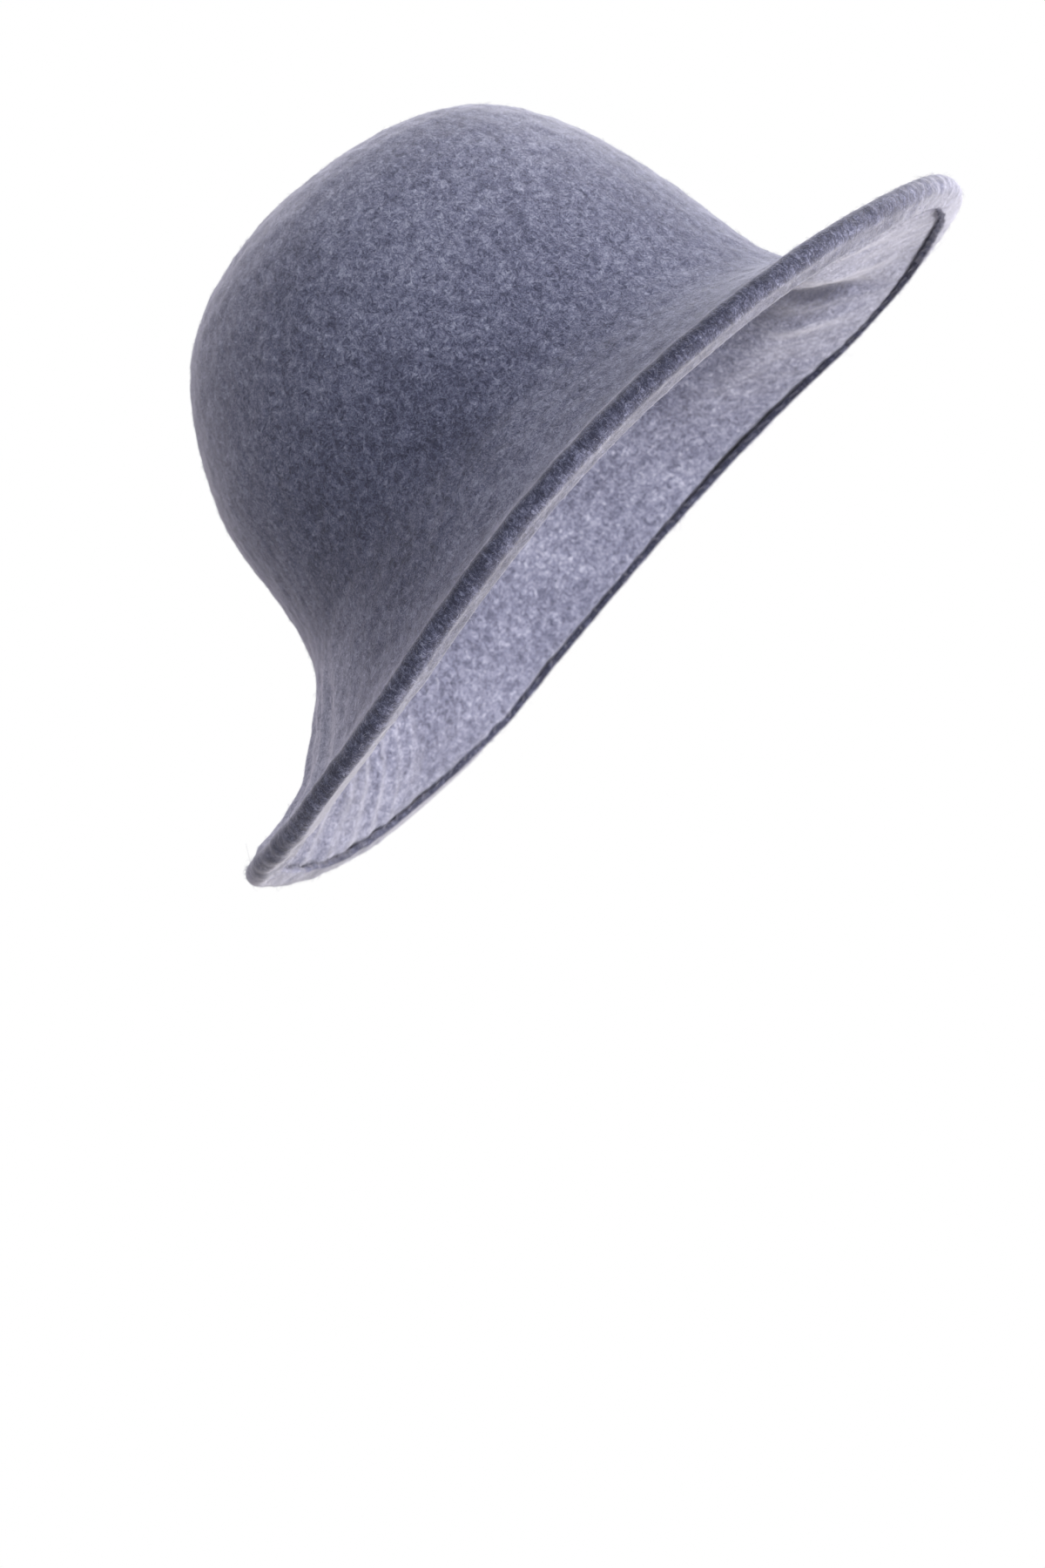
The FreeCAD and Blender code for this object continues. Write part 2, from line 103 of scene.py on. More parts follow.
def spline_rows(T, k):
    """Uniform cubic B-spline through the table's rows at fractional rows k."""
    ext = np.vstack([2 * T[0] - T[1], T, 2 * T[-1] - T[-2]])
    k = np.clip(np.asarray(k, float), 0, len(T) - 1 - 1e-9)
    i = k.astype(int)
    f = (k - i)[..., None]
    return ((1 - f) ** 3 * ext[i] + (3 * f ** 3 - 6 * f ** 2 + 4) * ext[i + 1]
            + (-3 * f ** 3 + 3 * f ** 2 + 3 * f + 1) * ext[i + 2] + f ** 3 * ext[np.minimum(i + 3, len(ext) - 1)]) / 6


def rim_z(t):
    phi = np.abs(np.degrees(np.arctan2(np.cos(t), -np.sin(t)))) / 15.0
    k = np.minimum(phi.astype(int), 11)
    f = phi - k
    g = lambda i: RIM_Z[np.where(np.abs(i) <= 12, np.abs(i), 24 - np.abs(i))]
    p0, p1, p2, p3 = g(k - 1), g(k), g(k + 1), g(k + 2)
    return 0.5 * (2 * p1 + (p2 - p0) * f + (2 * p0 - 5 * p1 + 4 * p2 - p3) * f ** 2 + (3 * p1 - p0 - 3 * p2 + p3) * f ** 3)


def mix3(side, back, front, s):
    return side * (1 - s * s) + back * s * s * (1 + s) / 2 + front * s * s * (1 - s) / 2


def smooth(a, b, x):
    u = np.clip((x - a) / (b - a), 0, 1)
    return u * u * (3 - 2 * u)


def outer(k, t):
    k, t = np.broadcast_arrays(np.asarray(k, float), np.asarray(t, float))
    f, b, sd = spline_rows(F, k), spline_rows(B, k), spline_rows(S, k)
    c, s = np.cos(t), np.sin(t)
    yc, yh = (b[..., 0] - f[..., 0]) / 2, (b[..., 0] + f[..., 0]) / 2
    z = mix3(sd[..., 1], b[..., 1], f[..., 1], s)
    w = smooth(NECK, ROWS - 1, k)
    z = z + w * (rim_z(t) + HEM_T - mix3(RIM_Z[6] + HEM_T, RIM_Z[12] + HEM_T, RIM_Z[0] + HEM_T, s))
    return np.stack([sd[..., 0] * c, yc + yh * s, z], -1)


def unit(v):
    return v / np.maximum(np.linalg.norm(v, axis=-1, keepdims=True), 1e-12)


def normal(k, t):
    k = np.clip(np.asarray(k, float), 0.4, ROWS - 1.3)
    du = outer(k + 0.25, t) - outer(k - 0.25, t)
    dv = outer(k, t + 0.01) - outer(k, t - 0.01)
    return unit(np.cross(du, dv))


def plan_out(t):
    d = outer(ROWS - 1, t + 0.01) - outer(ROWS - 1, t - 0.01)
    return unit(np.stack([d[..., 1], -d[..., 0], 0 * d[..., 0]], -1))


def felt_at(k, t, depth):
    return outer(k, t) - normal(k, t) * np.asarray(depth, float)[..., None]


def droop(t):
    """How far the turned-under layer hangs per millimetre of its width."""
    return 0.2 * smooth(0.2, 2.6, rim_z(t))


def hem_at(t, along, up):
    q = outer(ROWS - 1, t) + plan_out(t) * along
    q[..., 2] = rim_z(t) + up + droop(t) * min(along, 0.0)
    return q


# ------------------------------------------------ smooth repeatable noise
def make_noise(seed, waves, scale):
    r = np.random.default_rng(seed)
    d = unit(r.normal(size=(waves, 3))) * (r.uniform(0.6, 1.5, (waves, 1)) * 2 * math.pi / scale)
    ph = r.uniform(0, 2 * math.pi, waves)

    def f(p):
        out = np.zeros(p.shape[:-1])
        for a, b in zip(d, ph):
            out += np.sin(p @ a + b)
        return out / math.sqrt(waves / 2.0)
    return f


n_low, n_mid, n_fine = make_noise(3, 10, 75.0), make_noise(4, 16, 11.0), make_noise(5, 18, 4.2)
n_lip, n_rib = make_noise(6, 12, 7.0), make_noise(7, 14, 4.4)


def fold_line(p, a, b, width, amp, fade=0.35):
    """Soft fold of the felt along a plan line from a to b."""
    a, b = np.array(a, float), np.array(b, float)
    d = b - a
    L = np.hypot(*d)
    d = d / L
    rel = p[..., :2] - a
    u, v = rel @ d / L, rel @ np.array([-d[1], d[0]])
    win = smooth(0, fade, u) * (1 - smooth(1 - fade, 1, u))
    return amp * win * np.exp(-(v / width) ** 2)


def brim_shape(p, w, wf=0.0):
    """Height the whole felt is lifted by; w is 0 on the crown and 1 on the brim, wf also fades at the rim."""
    x, y = p[..., 0], p[..., 1]
    ang = np.arctan2(y / 167.0, x / 122.0)
    back = np.exp(-((np.abs(np.angle(np.exp(1j * (ang - math.pi / 2)))) - 0.42) / 0.36) ** 2)
    d = 0.55 * n_low(p) * w
    # crease in front of the crown and the folds beside it
    d += fold_line(p, (17, -91), (54, -136), 5.2, 3.8, 0.3) * wf
    d -= fold_line(p, (48, -88), (68, -130), 5.0, 1.8, 0.3) * wf
    d -= fold_line(p, (2, -98), (40, -148), 4.6, 2.0, 0.3) * wf
    d += fold_line(p, (-6, -102), (16, -152), 3.4, 1.0, 0.3) * wf
    d -= fold_line(p, (-14, -102), (2, -154), 3.0, 0.9, 0.3) * wf
    d += fold_line(p, (-26, -102), (-16, -154), 3.2, 0.8, 0.3) * wf
    d -= fold_line(p, (-40, -100), (-34, -150), 4.0, 0.8, 0.3) * wf
    d += fold_line(p, (70, -84), (88, -112), 5.0, 0.8, 0.3) * wf
    # radial ripples of the back brim
    d += back * w * (0.75 * np.sin(ang * 31.0 + 1.5 * np.sin(ang * 9) + 0.8 * n_low(p)) + 0.5 * np.sin(ang * 57 + 1.3 + 1.2 * np.sin(ang * 13))) * (0.85 + 0.35 * np.sin(ang * 7.0 + 0.5))
    return d


def mesh_from(name, verts, faces, smooth_shade=True):
    me = bpy.data.meshes.new(name)
    me.from_pydata([tuple(v) for v in verts], [], faces)
    me.validate()
    if smooth_shade:
        me.polygons.foreach_set("use_smooth", [True] * len(me.polygons))
    me.update()
    o = bpy.data.objects.new(name, me)
    bpy.context.collection.objects.link(o)
    return o


def quads_mesh(name, V, Q, T=None, smooth_shade=True):
    """Fast mesh from vertex array (mm), quad array and optional triangle array."""
    me = bpy.data.meshes.new(name)
    V = np.asarray(V, float) * MM
    Q = np.asarray(Q, np.int32).reshape(-1, 4)
    T = np.zeros((0, 3), np.int32) if T is None else np.asarray(T, np.int32).reshape(-1, 3)
    me.vertices.add(len(V))
    me.vertices.foreach_set("co", V.astype(np.float32).ravel())
    nl = Q.size + T.size
    me.loops.add(nl)
    me.loops.foreach_set("vertex_index", np.r_[Q.ravel(), T.ravel()].astype(np.int32))
    me.polygons.add(len(Q) + len(T))
    start = np.r_[np.arange(len(Q)) * 4, Q.size + np.arange(len(T)) * 3].astype(np.int32)
    me.polygons.foreach_set("loop_start", start)
    me.update(calc_edges=True)
    me.validate()
    me.polygons.foreach_set("use_smooth", np.full(len(me.polygons), smooth_shade))
    me.update()
    o = bpy.data.objects.new(name, me)
    bpy.context.collection.objects.link(o)
    return o


def grid_faces(n, m, close_rows=False, base=0, flip=False):
    """Quads over n rows of m columns, closed round the columns."""
    i = np.arange(n if close_rows else n - 1)[:, None]
    j = np.arange(m)[None, :]
    a, b = i * m + j, i * m + (j + 1) % m
    c, d = ((i + 1) % n) * m + (j + 1) % m, ((i + 1) % n) * m + j
    q = np.stack([a, d, c, b] if flip else [a, b, c, d], -1).reshape(-1, 4)
    return q + base


# =====================================================================
# Felt: crown, brim and rolled hem in one closed mesh
# =====================================================================
NT = 640
TT = np.arange(NT) * 2 * math.pi / NT
k_out = np.r_[np.linspace(0.12, 2, 10)[:-1], np.arange(2, ROWS - 1, 0.25)]
k_in = np.r_[np.linspace(0.12, 2, 6)[:-1], np.arange(2, ROWS - 1, 0.5)][::-1]
rows, kind, kk = [], [], []


def add_row(p, what, k):
    rows.append(p)
    kind.append(what)
    kk.append(k)


for k in k_out:
    add_row(outer(k, TT), 0, k)
for a in np.radians(np.linspace(0, 180, 17)):
    add_row(hem_at(TT, HEM_R * math.sin(a), HEM_R + HEM_R * math.cos(a)), 1, a)
for d in (0.9, 1.8, 2.7, 3.6, 4.5, 5.2):
    add_row(hem_at(TT, -d, 0.0), 2, d)
for d, u in ((5.75, 0.05), (6.1, 0.3), (6.22, 0.8), (6.25, 1.35), (6.22, 1.9), (6.1, 2.4), (5.75, 2.65)):
    add_row(hem_at(TT, -d, u), 3, u)
for d in (5.0, 3.6, 2.0, 0.8):
    add_row(hem_at(TT, -d, FELT), 4, d)
for a in np.radians(np.linspace(180, 0, 8)):
    add_row(hem_at(TT, HEM_IN_R * math.sin(a), HEM_R + HEM_IN_R * math.cos(a)), 5, a)
for k in k_in:
    add_row(felt_at(k, TT, FELT), 6, k)
P = np.array(rows)
kind, kk = np.array(kind), np.array(kk, float)


def dist_in(p, t):
    return -((p - outer(ROWS - 1, t)) * plan_out(t)).sum(-1)


# slope of the line that leaves the raw edge and just touches the underside of the brim, and where it touches
touch, touch_d = np.full(NT, 9.0), np.full(NT, 12.0)
for i in np.nonzero(kind == 6)[0]:
    dd = dist_in(P[i], TT)
    lip_top = rim_z(TT) + FELT + 0.22 - droop(TT) * HEM_TURN
    cand = np.where((dd > 10) & (dd < 34), (P[i][:, 2] - lip_top) / np.maximum(dd - HEM_TURN - 0.4, 1), 99.0)
    touch_d = np.where(cand < touch, dd, touch_d)
    touch = np.minimum(touch, cand)
for _ in range(14):
    touch = (np.roll(touch, 1) + 2 * touch + np.roll(touch, -1)) / 4
    touch_d = (np.roll(touch_d, 1) + 2 * touch_d + np.roll(touch_d, -1)) / 4


def hug(p, t):
    """Brings the underside of the brim down onto the turned-under layer, as far in as it touches."""
    d = dist_in(p, t)
    lip = rim_z(t) + FELT + 0.22 - droop(t) * np.clip(d, 0, HEM_TURN)
    tm, tx = np.mod(t, 2 * math.pi), np.r_[TT, 2 * math.pi]
    rise, reach = np.interp(tm, tx, np.r_[touch, touch[0]]), np.interp(tm, tx, np.r_[touch_d, touch_d[0]])
    low = lip + np.maximum(0, d - HEM_TURN - 0.4) * rise
    w = 1 - smooth(reach - 0.5, reach + 3.0, d)
    q = p.copy()
    q[..., 2] = p[..., 2] * (1 - w) + np.minimum(p[..., 2], low) * w
    return q


for i in np.nonzero(kind == 6)[0]:
    if kk[i] > NECK + 2:
        P[i] = hug(P[i], TT)
N0 = P.copy()
# normals of the undisturbed surface
Nn = np.zeros_like(P)
du = np.gradient(P, axis=0)
dv = (np.roll(P, -1, 1) - np.roll(P, 1, 1)) / 2
Nn = unit(np.cross(du, dv))
wk = np.ones(len(rows))
sel = (kind == 0) | (kind == 6)
wk[sel] = smooth(NECK + 1.0, NECK + 7.5, kk[sel])
W = wk[:, None] * np.ones(NT)[None]
wf = wk * np.where(sel, 1 - smooth(ROWS - 6.0, ROWS - 2.0, kk), 0.0) * np.where(kind == 0, 0.68, 1.0)
P[..., 2] += brim_shape(N0, W, wf[:, None] * np.ones(NT)[None]) * (1 - 0.75 * np.isin(kind, (1, 2, 3, 4, 5))[:, None])
arc = np.r_[0, np.cumsum(np.linalg.norm(np.diff(hem_at(TT, 0, 0), axis=0), axis=1))]
# relief of the blocked felt
relief = 0.10 * n_mid(N0) + 0.05 * n_fine(N0)
side_w = np.where(np.isin(kind, (0, 1, 2, 6)), 1.0, 0.25)[:, None]
P += Nn * (relief * side_w)[..., None]
# gathered ribs across the rolled edge: elongated round the fold
ribp = np.stack([np.broadcast_to(arc[None], P.shape[:2]), 0.28 * np.broadcast_to(np.where(kind == 1, kk * HEM_R, 0)[:, None], P.shape[:2]),
                 np.zeros(P.shape[:2])], -1)
fold_w = np.zeros(len(rows))
fold_w[kind == 1] = np.sin(kk[kind == 1]) ** 0.7
fold_w[kind == 2] = 0.25
P += Nn * (fold_w[:, None] * (0.09 * n_rib(ribp * 1.0) + 0.06 * n_rib(ribp * 1.9)))[..., None]
# raw edge: uneven and slightly swollen
lip_w = np.zeros(len(rows))
lip_w[kind == 3] = 1.0
lip_w[(kind == 2) & (kk > 4)] = 0.5
lipn = np.stack([arc, 0 * arc, 0 * arc], -1)
P -= plan_out(TT)[None] * (lip_w[:, None] * (0.22 * n_lip(lipn) + 0.16 * n_lip(lipn * 2.3) + 0.1)[None])[..., None]
P[..., 2] = np.maximum(P[..., 2], 0.0)
nr = len(rows)
top_o = outer(0, np.array([0.0]))[0]
top_i = top_o - np.array([0, 0, FELT])
V = np.vstack([P.reshape(-1, 3), top_o[None], top_i[None]])
Q = grid_faces(nr, NT, flip=True)
j = np.arange(NT)
tri_o = np.stack([np.full(NT, nr * NT), j, (j + 1) % NT], -1)
last = (nr - 1) * NT
tri_i = np.stack([np.full(NT, nr * NT + 1), last + (j + 1) % NT, last + j], -1)
felt = quads_mesh("hat_felt", V, Q, np.vstack([tri_o, tri_i]))
# coordinates that run round the rolled edge, for the stretched fibres on it
RR = arc[-1] / (2 * math.pi)
cross = np.zeros(nr)
cross[kind == 1] = kk[kind == 1] * HEM_R
cross[kind == 2] = math.pi * HEM_R + kk[kind == 2]
cross[kind == 3] = math.pi * HEM_R + 6.2 + kk[kind == 3]
out_rows = np.nonzero(kind == 0)[0]
cross[out_rows] = -np.abs(kk[out_rows] - (ROWS - 1)) * 4.0
hemw = np.where(kind == 1, 1.0, np.where(kind == 2, 0.2, np.where(kind == 3, 1.0, 0.0)))
hemw[out_rows] = smooth(ROWS - 1.8, ROWS - 1, kk[out_rows])
hc = np.zeros((nr, NT, 3))
hc[..., 0] = RR * np.cos(TT)[None] * MM
hc[..., 1] = RR * np.sin(TT)[None] * MM
hc[..., 2] = cross[:, None] * 0.12 * MM
at = felt.data.attributes.new("hemcoord", "FLOAT_VECTOR", "POINT")
at.data.foreach_set("vector", np.vstack([hc.reshape(-1, 3), np.zeros((2, 3))]).astype(np.float32).ravel())
# painted shade: the rolled edge is darkened at the left and right sides, and so is the bottom of the crease
press = np.where(kind == 1, 0.20, np.where(kind == 2, 0.20, np.where(kind == 3, 0.28, 0.0)))[:, None] * smooth(0.08, 0.42, np.abs(np.cos(TT)))[None]
# painted highlight: the upper face is paler towards the back of the brim, where grazing light catches it
press = press - 0.24 * ((kind == 0) * smooth(NECK, NECK + 5, kk))[:, None] * smooth(0.60, 0.95, np.sin(TT))[None]
# and a little painted shade where the crown turns into the brim at the rear sides
press = press + 0.11 * ((kind == 0) * np.exp(-((kk - NECK) / 4.0) ** 2))[:, None] * (np.abs(np.cos(TT)) * smooth(-0.35, 0.3, np.sin(TT)))[None]
# painted shade in and round the crease in front of the crown, a little painted highlight on the two folds beside it
crease_shade_rows = ((kind == 6) * wf)[:, None]
press = press + crease_shade_rows * (fold_line(N0, (17, -91), (53, -132), 5.5, 0.34, 0.3) + fold_line(N0, (30, -85), (50, -124), 13.0, 0.24, 0.35) - fold_line(N0, (48, -88), (68, -130), 4.5, 0.07, 0.3)
                             - fold_line(N0, (2, -98), (40, -148), 4.5, 0.08, 0.3))
at = felt.data.attributes.new("press", "FLOAT", "POINT")
at.data.foreach_set("value", np.r_[press.ravel(), 0, 0].astype(np.float32))
at = felt.data.attributes.new("hemw", "FLOAT", "POINT")
at.data.foreach_set("value", np.r_[(hemw[:, None] * np.ones(NT)[None]).ravel(), 0, 0].astype(np.float32))


# =====================================================================
# Small builders
# =====================================================================
def tube(path, radius, sides=8, closed=False, squash=1.0, cap=True):
    """Vertices and faces of a round tube along a path (mm)."""
    path = np.asarray(path, float)
    n = len(path)
    if closed:
        tan = unit(np.roll(path, -1, 0) - np.roll(path, 1, 0))
    else:
        tan = unit(np.gradient(path, axis=0))
    ref = np.array([0, 0, 1.0])
    s = np.cross(tan, ref)
    bad = np.linalg.norm(s, axis=1) < 0.1
    s[bad] = np.cross(tan[bad], np.array([1.0, 0, 0]))
    s = unit(s)
    u = np.cross(s, tan)
    a = np.arange(sides) * 2 * math.pi / sides
    r = np.broadcast_to(np.asarray(radius, float), (n,))
    ring = (path[:, None] + r[:, None, None] * (np.cos(a)[None, :, None] * s[:, None] + squash * np.sin(a)[None, :, None] * u[:, None]))
    Vv = ring.reshape(-1, 3)
    Qq = grid_faces(n, sides, close_rows=closed, flip=True)
    if closed or not cap:
        return Vv, Qq, np.zeros((0, 3), int)
    Vv = np.vstack([Vv, path[0] - tan[0] * r[0] * 0.6, path[-1] + tan[-1] * r[-1] * 0.6])
    jj = np.arange(sides)
    t0 = np.stack([np.full(sides, n * sides), jj, (jj + 1) % sides], -1)
    t1 = np.stack([np.full(sides, n * sides + 1), (n - 1) * sides + (jj + 1) % sides, (n - 1) * sides + jj], -1)
    return Vv, Qq, np.vstack([t0, t1])


def join_parts(name, parts, smooth_shade=True):
    Vs, Qs, Ts, n = [], [], [], 0
    for v, q, t in parts:
        Vs.append(v)
        Qs.append(np.asarray(q).reshape(-1, 4) + n)
        Ts.append(np.asarray(t).reshape(-1, 3) + n)
        n += len(v)
    return quads_mesh(name, np.vstack(Vs), np.vstack(Qs), np.vstack(Ts), smooth_shade)


def thread(path, radius, turns=2.0, sides=7):
    """Two-ply sewing thread: two plies twisted round a path."""
    path = np.asarray(path, float)
    n = len(path)
    tan = unit(np.gradient(path, axis=0))
    s = np.cross(tan, np.array([0.31, 0.17, 0.93]))
    s = unit(s)
    u = np.cross(s, tan)
    out = []
    for ply in (0, math.pi):
        a = ply + np.linspace(0, turns * 2 * math.pi, n)
        q = path + 0.48 * radius * (np.cos(a)[:, None] * s + np.sin(a)[:, None] * u)
        taper = np.ones(n)
        taper[[0, -1]] = 0.6
        out.append(tube(q, 0.62 * radius * taper, sides))
    return out


def sheet(P_in, P_out):
    """Closed slab between two grids (rows x columns x 3), open-edged grids stitched round their rim."""
    n, m = P_in.shape[:2]
    Vv = np.vstack([P_out.reshape(-1, 3), P_in.reshape(-1, 3)])
    off = n * m
    i, j2 = np.arange(n - 1)[:, None], np.arange(m - 1)[None]
    a = (i * m + j2)
    q1 = np.stack([a, a + 1, a + m + 1, a + m], -1).reshape(-1, 4)
    q2 = np.stack([a, a + m, a + m + 1, a + 1], -1).reshape(-1, 4) + off
    edges = []
    for jj in range(m - 1):
        edges.append((jj + 1, jj, off + jj, off + jj + 1))
        b = (n - 1) * m + jj
        edges.append((b, b + 1, off + b + 1, off + b))
    for ii in range(n - 1):
        c = ii * m
        edges.append((c, c + m, off + c + m, off + c))
        d = ii * m + m - 1
        edges.append((d + m, d, off + d, off + d + m))
    return Vv, np.vstack([q1, q2, np.array(edges)]), np.zeros((0, 3), int)


# =====================================================================
# Wire in the hem, its joiner, and the hem stitches
# =====================================================================
gap = 0.6 / (122 * 0.9)
tw = np.linspace(math.pi / 2 + gap, math.pi / 2 + 2 * math.pi - gap, 900)
wire_path = hem_at(tw, -0.8, HEM_R)
arcw = np.r_[0, np.cumsum(np.linalg.norm(np.diff(wire_path, axis=0), axis=1))]
wire_path[..., 2] = np.maximum(wire_path[..., 2] + brim_shape(wire_path, np.ones(len(tw))) * 0.25, 1.0)
v, q, t3 = tube(wire_path, 0.56 + 0.035 * np.sin(arcw * 2 * math.pi / 2.2), 12)
wire = quads_mesh("hem_wire", v, q, t3)
half = 11.0 / (122 * 0.98)
tj = np.linspace(math.pi / 2 - half, math.pi / 2 + half, 60)
jp = hem_at(tj, -0.8, HEM_R)
jp[..., 2] += brim_shape(jp, np.ones(len(tj))) * 0.25
xx = np.linspace(-11, 11, 60)
crimp = 0.92 - 0.13 * (np.exp(-((np.abs(xx) - 6.5) / 0.9) ** 2) + np.exp(-((np.abs(xx) - 3.0) / 0.9) ** 2))
vo, qo, _ = tube(jp, crimp, 18, cap=False)
vi, qi, _ = tube(jp, np.minimum(0.66, crimp - 0.14), 18, cap=False)
qi = qi[:, ::-1] + len(vo)
jj = np.arange(18)
e0 = np.stack([jj, (jj + 1) % 18, len(vo) + (jj + 1) % 18, len(vo) + jj], -1)
b0 = 59 * 18
e1 = np.stack([b0 + (jj + 1) % 18, b0 + jj, len(vo) + b0 + jj, len(vo) + b0 + (jj + 1) % 18], -1)
joiner = quads_mesh("wire_joiner_tube", np.vstack([vo, vi]), np.vstack([qo, qi, e0, e1]))

# felling stitches at the raw edge of the hem
peri = 2 * math.pi * math.sqrt((167.0 ** 2 + 122.0 ** 2) / 2)
count = int(peri / 8.0)
kgrid = np.linspace(NECK + 3, ROWS - 1, 400)
parts = []
for jn in range(count):
    t = 2 * math.pi * (jn + 0.5) / count
    dt = 0.9 / 167.0
    a = hem_at(np.array([t - dt]), -(HEM_TURN + 0.55), 1.5)[0]
    under = hug(felt_at(kgrid, np.full(400, t + dt), FELT), np.full(400, t + dt))
    p4 = outer(ROWS - 1, np.array([t]))[0]
    dist = np.hypot(under[:, 0] - p4[0], under[:, 1] - p4[1])
    b = under[np.argmin(np.abs(dist - (HEM_TURN + 1.25)))].copy()
    lift = brim_shape(b[None], np.ones(1))[0] * 0.5
    b[2] += -0.62 + min(lift, 0.2)
    a[2] += brim_shape(a[None], np.ones(1))[0] * 0.25
    mid = (a + b) / 2 + np.array([0, 0, -0.12])
    f = np.linspace(0, 1, 7)[:, None]
    parts += thread((1 - f) ** 2 * a + 2 * f * (1 - f) * mid + f * f * b, 0.27, 1.4, 6)
hem_thread = join_parts("hem_stitch_thread", parts)

# =====================================================================
# Sweatband: ribbed petersham ribbon inside the head opening
# =====================================================================
BAND_IN = FELT + 0.15 + 0.8


def wall_row(h, t):
    return NECK - h / mix3(9.1, 9.6, 8.7, np.sin(t))


def wall(t, h, depth):
    return felt_at(wall_row(h, t), t, depth)


NB = 1740
tb = np.arange(NB) * 2 * math.pi / NB
hs = np.r_[0.0, 0.25, 0.8, 1.6, np.linspace(2.6, 22.4, 9), 23.4, 24.2, 24.75, 25.0]
rib = 0.5 + 0.5 * np.cos(tb * 290)                  # one rib about every 2 mm of the ribbon
rowsb = []
wob = 0.22 * n_low(np.stack([80 * np.cos(tb), 90 * np.sin(tb), 0 * tb], -1))
for side, hh in ((0, hs), (1, hs[::-1])):
    for h in hh:
        edge = math.exp(-((min(h, 25.0 - h)) / 0.5) ** 2)
        pico = 0.18 * edge * rib
        hv = h + (pico if h > 12 else -pico)
        body = 0.15 + 0.34 * (1 - edge)
        if side == 0:
            dep = FELT + 0.42 - 0.22 * (1 - edge) + 0.10 * (1 - rib)
        else:
            dep = FELT + 0.42 + body + 0.12 * rib * (1 - edge) + 0 * tb
        rowsb.append(wall(tb, hv, dep + 0.10 * smooth(4, 12, h) * (1 - smooth(13, 21, h)) * wob))
Pb = np.array(rowsb)
band = quads_mesh("sweatband_ribbon", Pb.reshape(-1, 3), grid_faces(len(rowsb), NB, close_rows=True))

parts = []
for jn in range(56):
    t = 2 * math.pi * (jn + 0.5) / 56
    f = np.linspace(-0.026, 0.026, 9)
    arch = 0.16 * (1 - (f / 0.026) ** 2)
    p = wall(t + f, 1.8 + 0 * f, BAND_IN + 0.10 + arch)
    parts += thread(p, 0.19, 2.0, 6)
band_thread = join_parts("sweatband_stitch_thread", parts)


# =====================================================================
# Flat bow
# =====================================================================
def local_frame(t0, x, h, depth):
    g = lambda xx_, hh_: wall(np.array([t0 + xx_ / 90.0]), np.array([hh_]), depth)[0]
    o = g(x, h)
    u = unit(g(x, h + 4) - g(x, h - 4))
    r = g(x + 3, h) - g(x - 3, h)
    r = unit(np.array([r[0], r[1], 0.0]))
    inward = unit(np.cross(u, r))
    u = unit(np.cross(r, inward))
    return o, r, u, inward


def place(fr, x, h, d):
    x, h, d = np.broadcast_arrays(np.asarray(x, float), np.asarray(h, float), np.asarray(d, float))
    return fr[0] + x[..., None] * fr[1] + h[..., None] * fr[2] + d[..., None] * fr[3]


BOW_H0, BOW_H1 = 8.0, 17.0
parts = []
for side in (-1, 1):
    fr = local_frame(math.pi / 2, side * 13.7, BOW_H0, BAND_IN + 0.3 + 1.75)
    na, nh = 96, 34
    a = np.arange(na) * 2 * math.pi / na
    hh = np.linspace(0, BOW_H1 - BOW_H0, nh)
    A, H = np.meshgrid(a, hh)
    pinch = 1 - 0.20 * np.exp(-((np.cos(A) - 1) / 0.5) ** 2)      # gathered at the knot
    Hc = 4.5 + (H - 4.5) * pinch
    ribs = 0.05 * np.cos(H * 2 * math.pi / 1.0)
    rows_o, rows_i = [], []
    for inset, store in ((0.0, rows_o), (0.42, rows_i)):
        x = -(9.0 - inset) * np.cos(A)
        w = (1.75 - inset) * np.sin(A) * (0.62 + 0.38 * (1 - np.cos(A)) / 2)
        w = w + (ribs if inset == 0 else -ribs * 0.6) * np.sign(np.sin(A)) * np.abs(np.sin(A))
        store.append(place(fr, side * x, Hc, w))
    Po, Pi = rows_o[0], rows_i[0]
    Vv = np.vstack([Po.reshape(-1, 3), Pi.reshape(-1, 3)])
    qo = grid_faces(nh, na)
    qi = qo[:, ::-1] + nh * na
    jj = np.arange(na)
    l0 = np.stack([(jj + 1) % na, jj, nh * na + jj, nh * na + (jj + 1) % na], -1)
    bo = (nh - 1) * na
    l1 = np.stack([bo + jj, bo + (jj + 1) % na, nh * na + bo + (jj + 1) % na, nh * na + bo + jj], -1)
    qa = np.vstack([qo, qi, l0, l1])
    parts.append((Vv, qa[:, ::-1] if side > 0 else qa, np.zeros((0, 3), int)))
bow = join_parts("bow_ribbon_loops", parts)

fr = local_frame(math.pi / 2, 0.0, BOW_H0, BAND_IN)
na, nx = 72, 15
a = np.arange(na) * 2 * math.pi / na
xs = np.linspace(-1.9, 1.9, nx)
Pk = []
for x in xs:
    e = abs(x) / 1.9
    rr = 1 - 0.10 * e ** 6
    h = 4.5 + (4.9 - 0.35 * (1 - e ** 2)) * rr * np.sign(np.sin(a)) * np.abs(np.sin(a)) ** 0.55
    d = 2.42 + 2.1 * rr * np.sign(np.cos(a)) * np.abs(np.cos(a)) ** 0.55 + 0.05 * math.cos(x * 2 * math.pi / 0.95)
    Pk.append(place(fr, x + 0 * a, h, d))
Pk = np.array(Pk)
c0, c1 = Pk[0].mean(0), Pk[-1].mean(0)
Vk = np.vstack([Pk.reshape(-1, 3), c0[None], c1[None]])
jj = np.arange(na)
knot = quads_mesh("bow_knot_wrap", Vk, grid_faces(nx, na),
                  np.vstack([np.stack([np.full(na, nx * na), (jj + 1) % na, jj], -1),
                             np.stack([np.full(na, nx * na + 1), (nx - 1) * na + jj, (nx - 1) * na + (jj + 1) % na], -1)]))

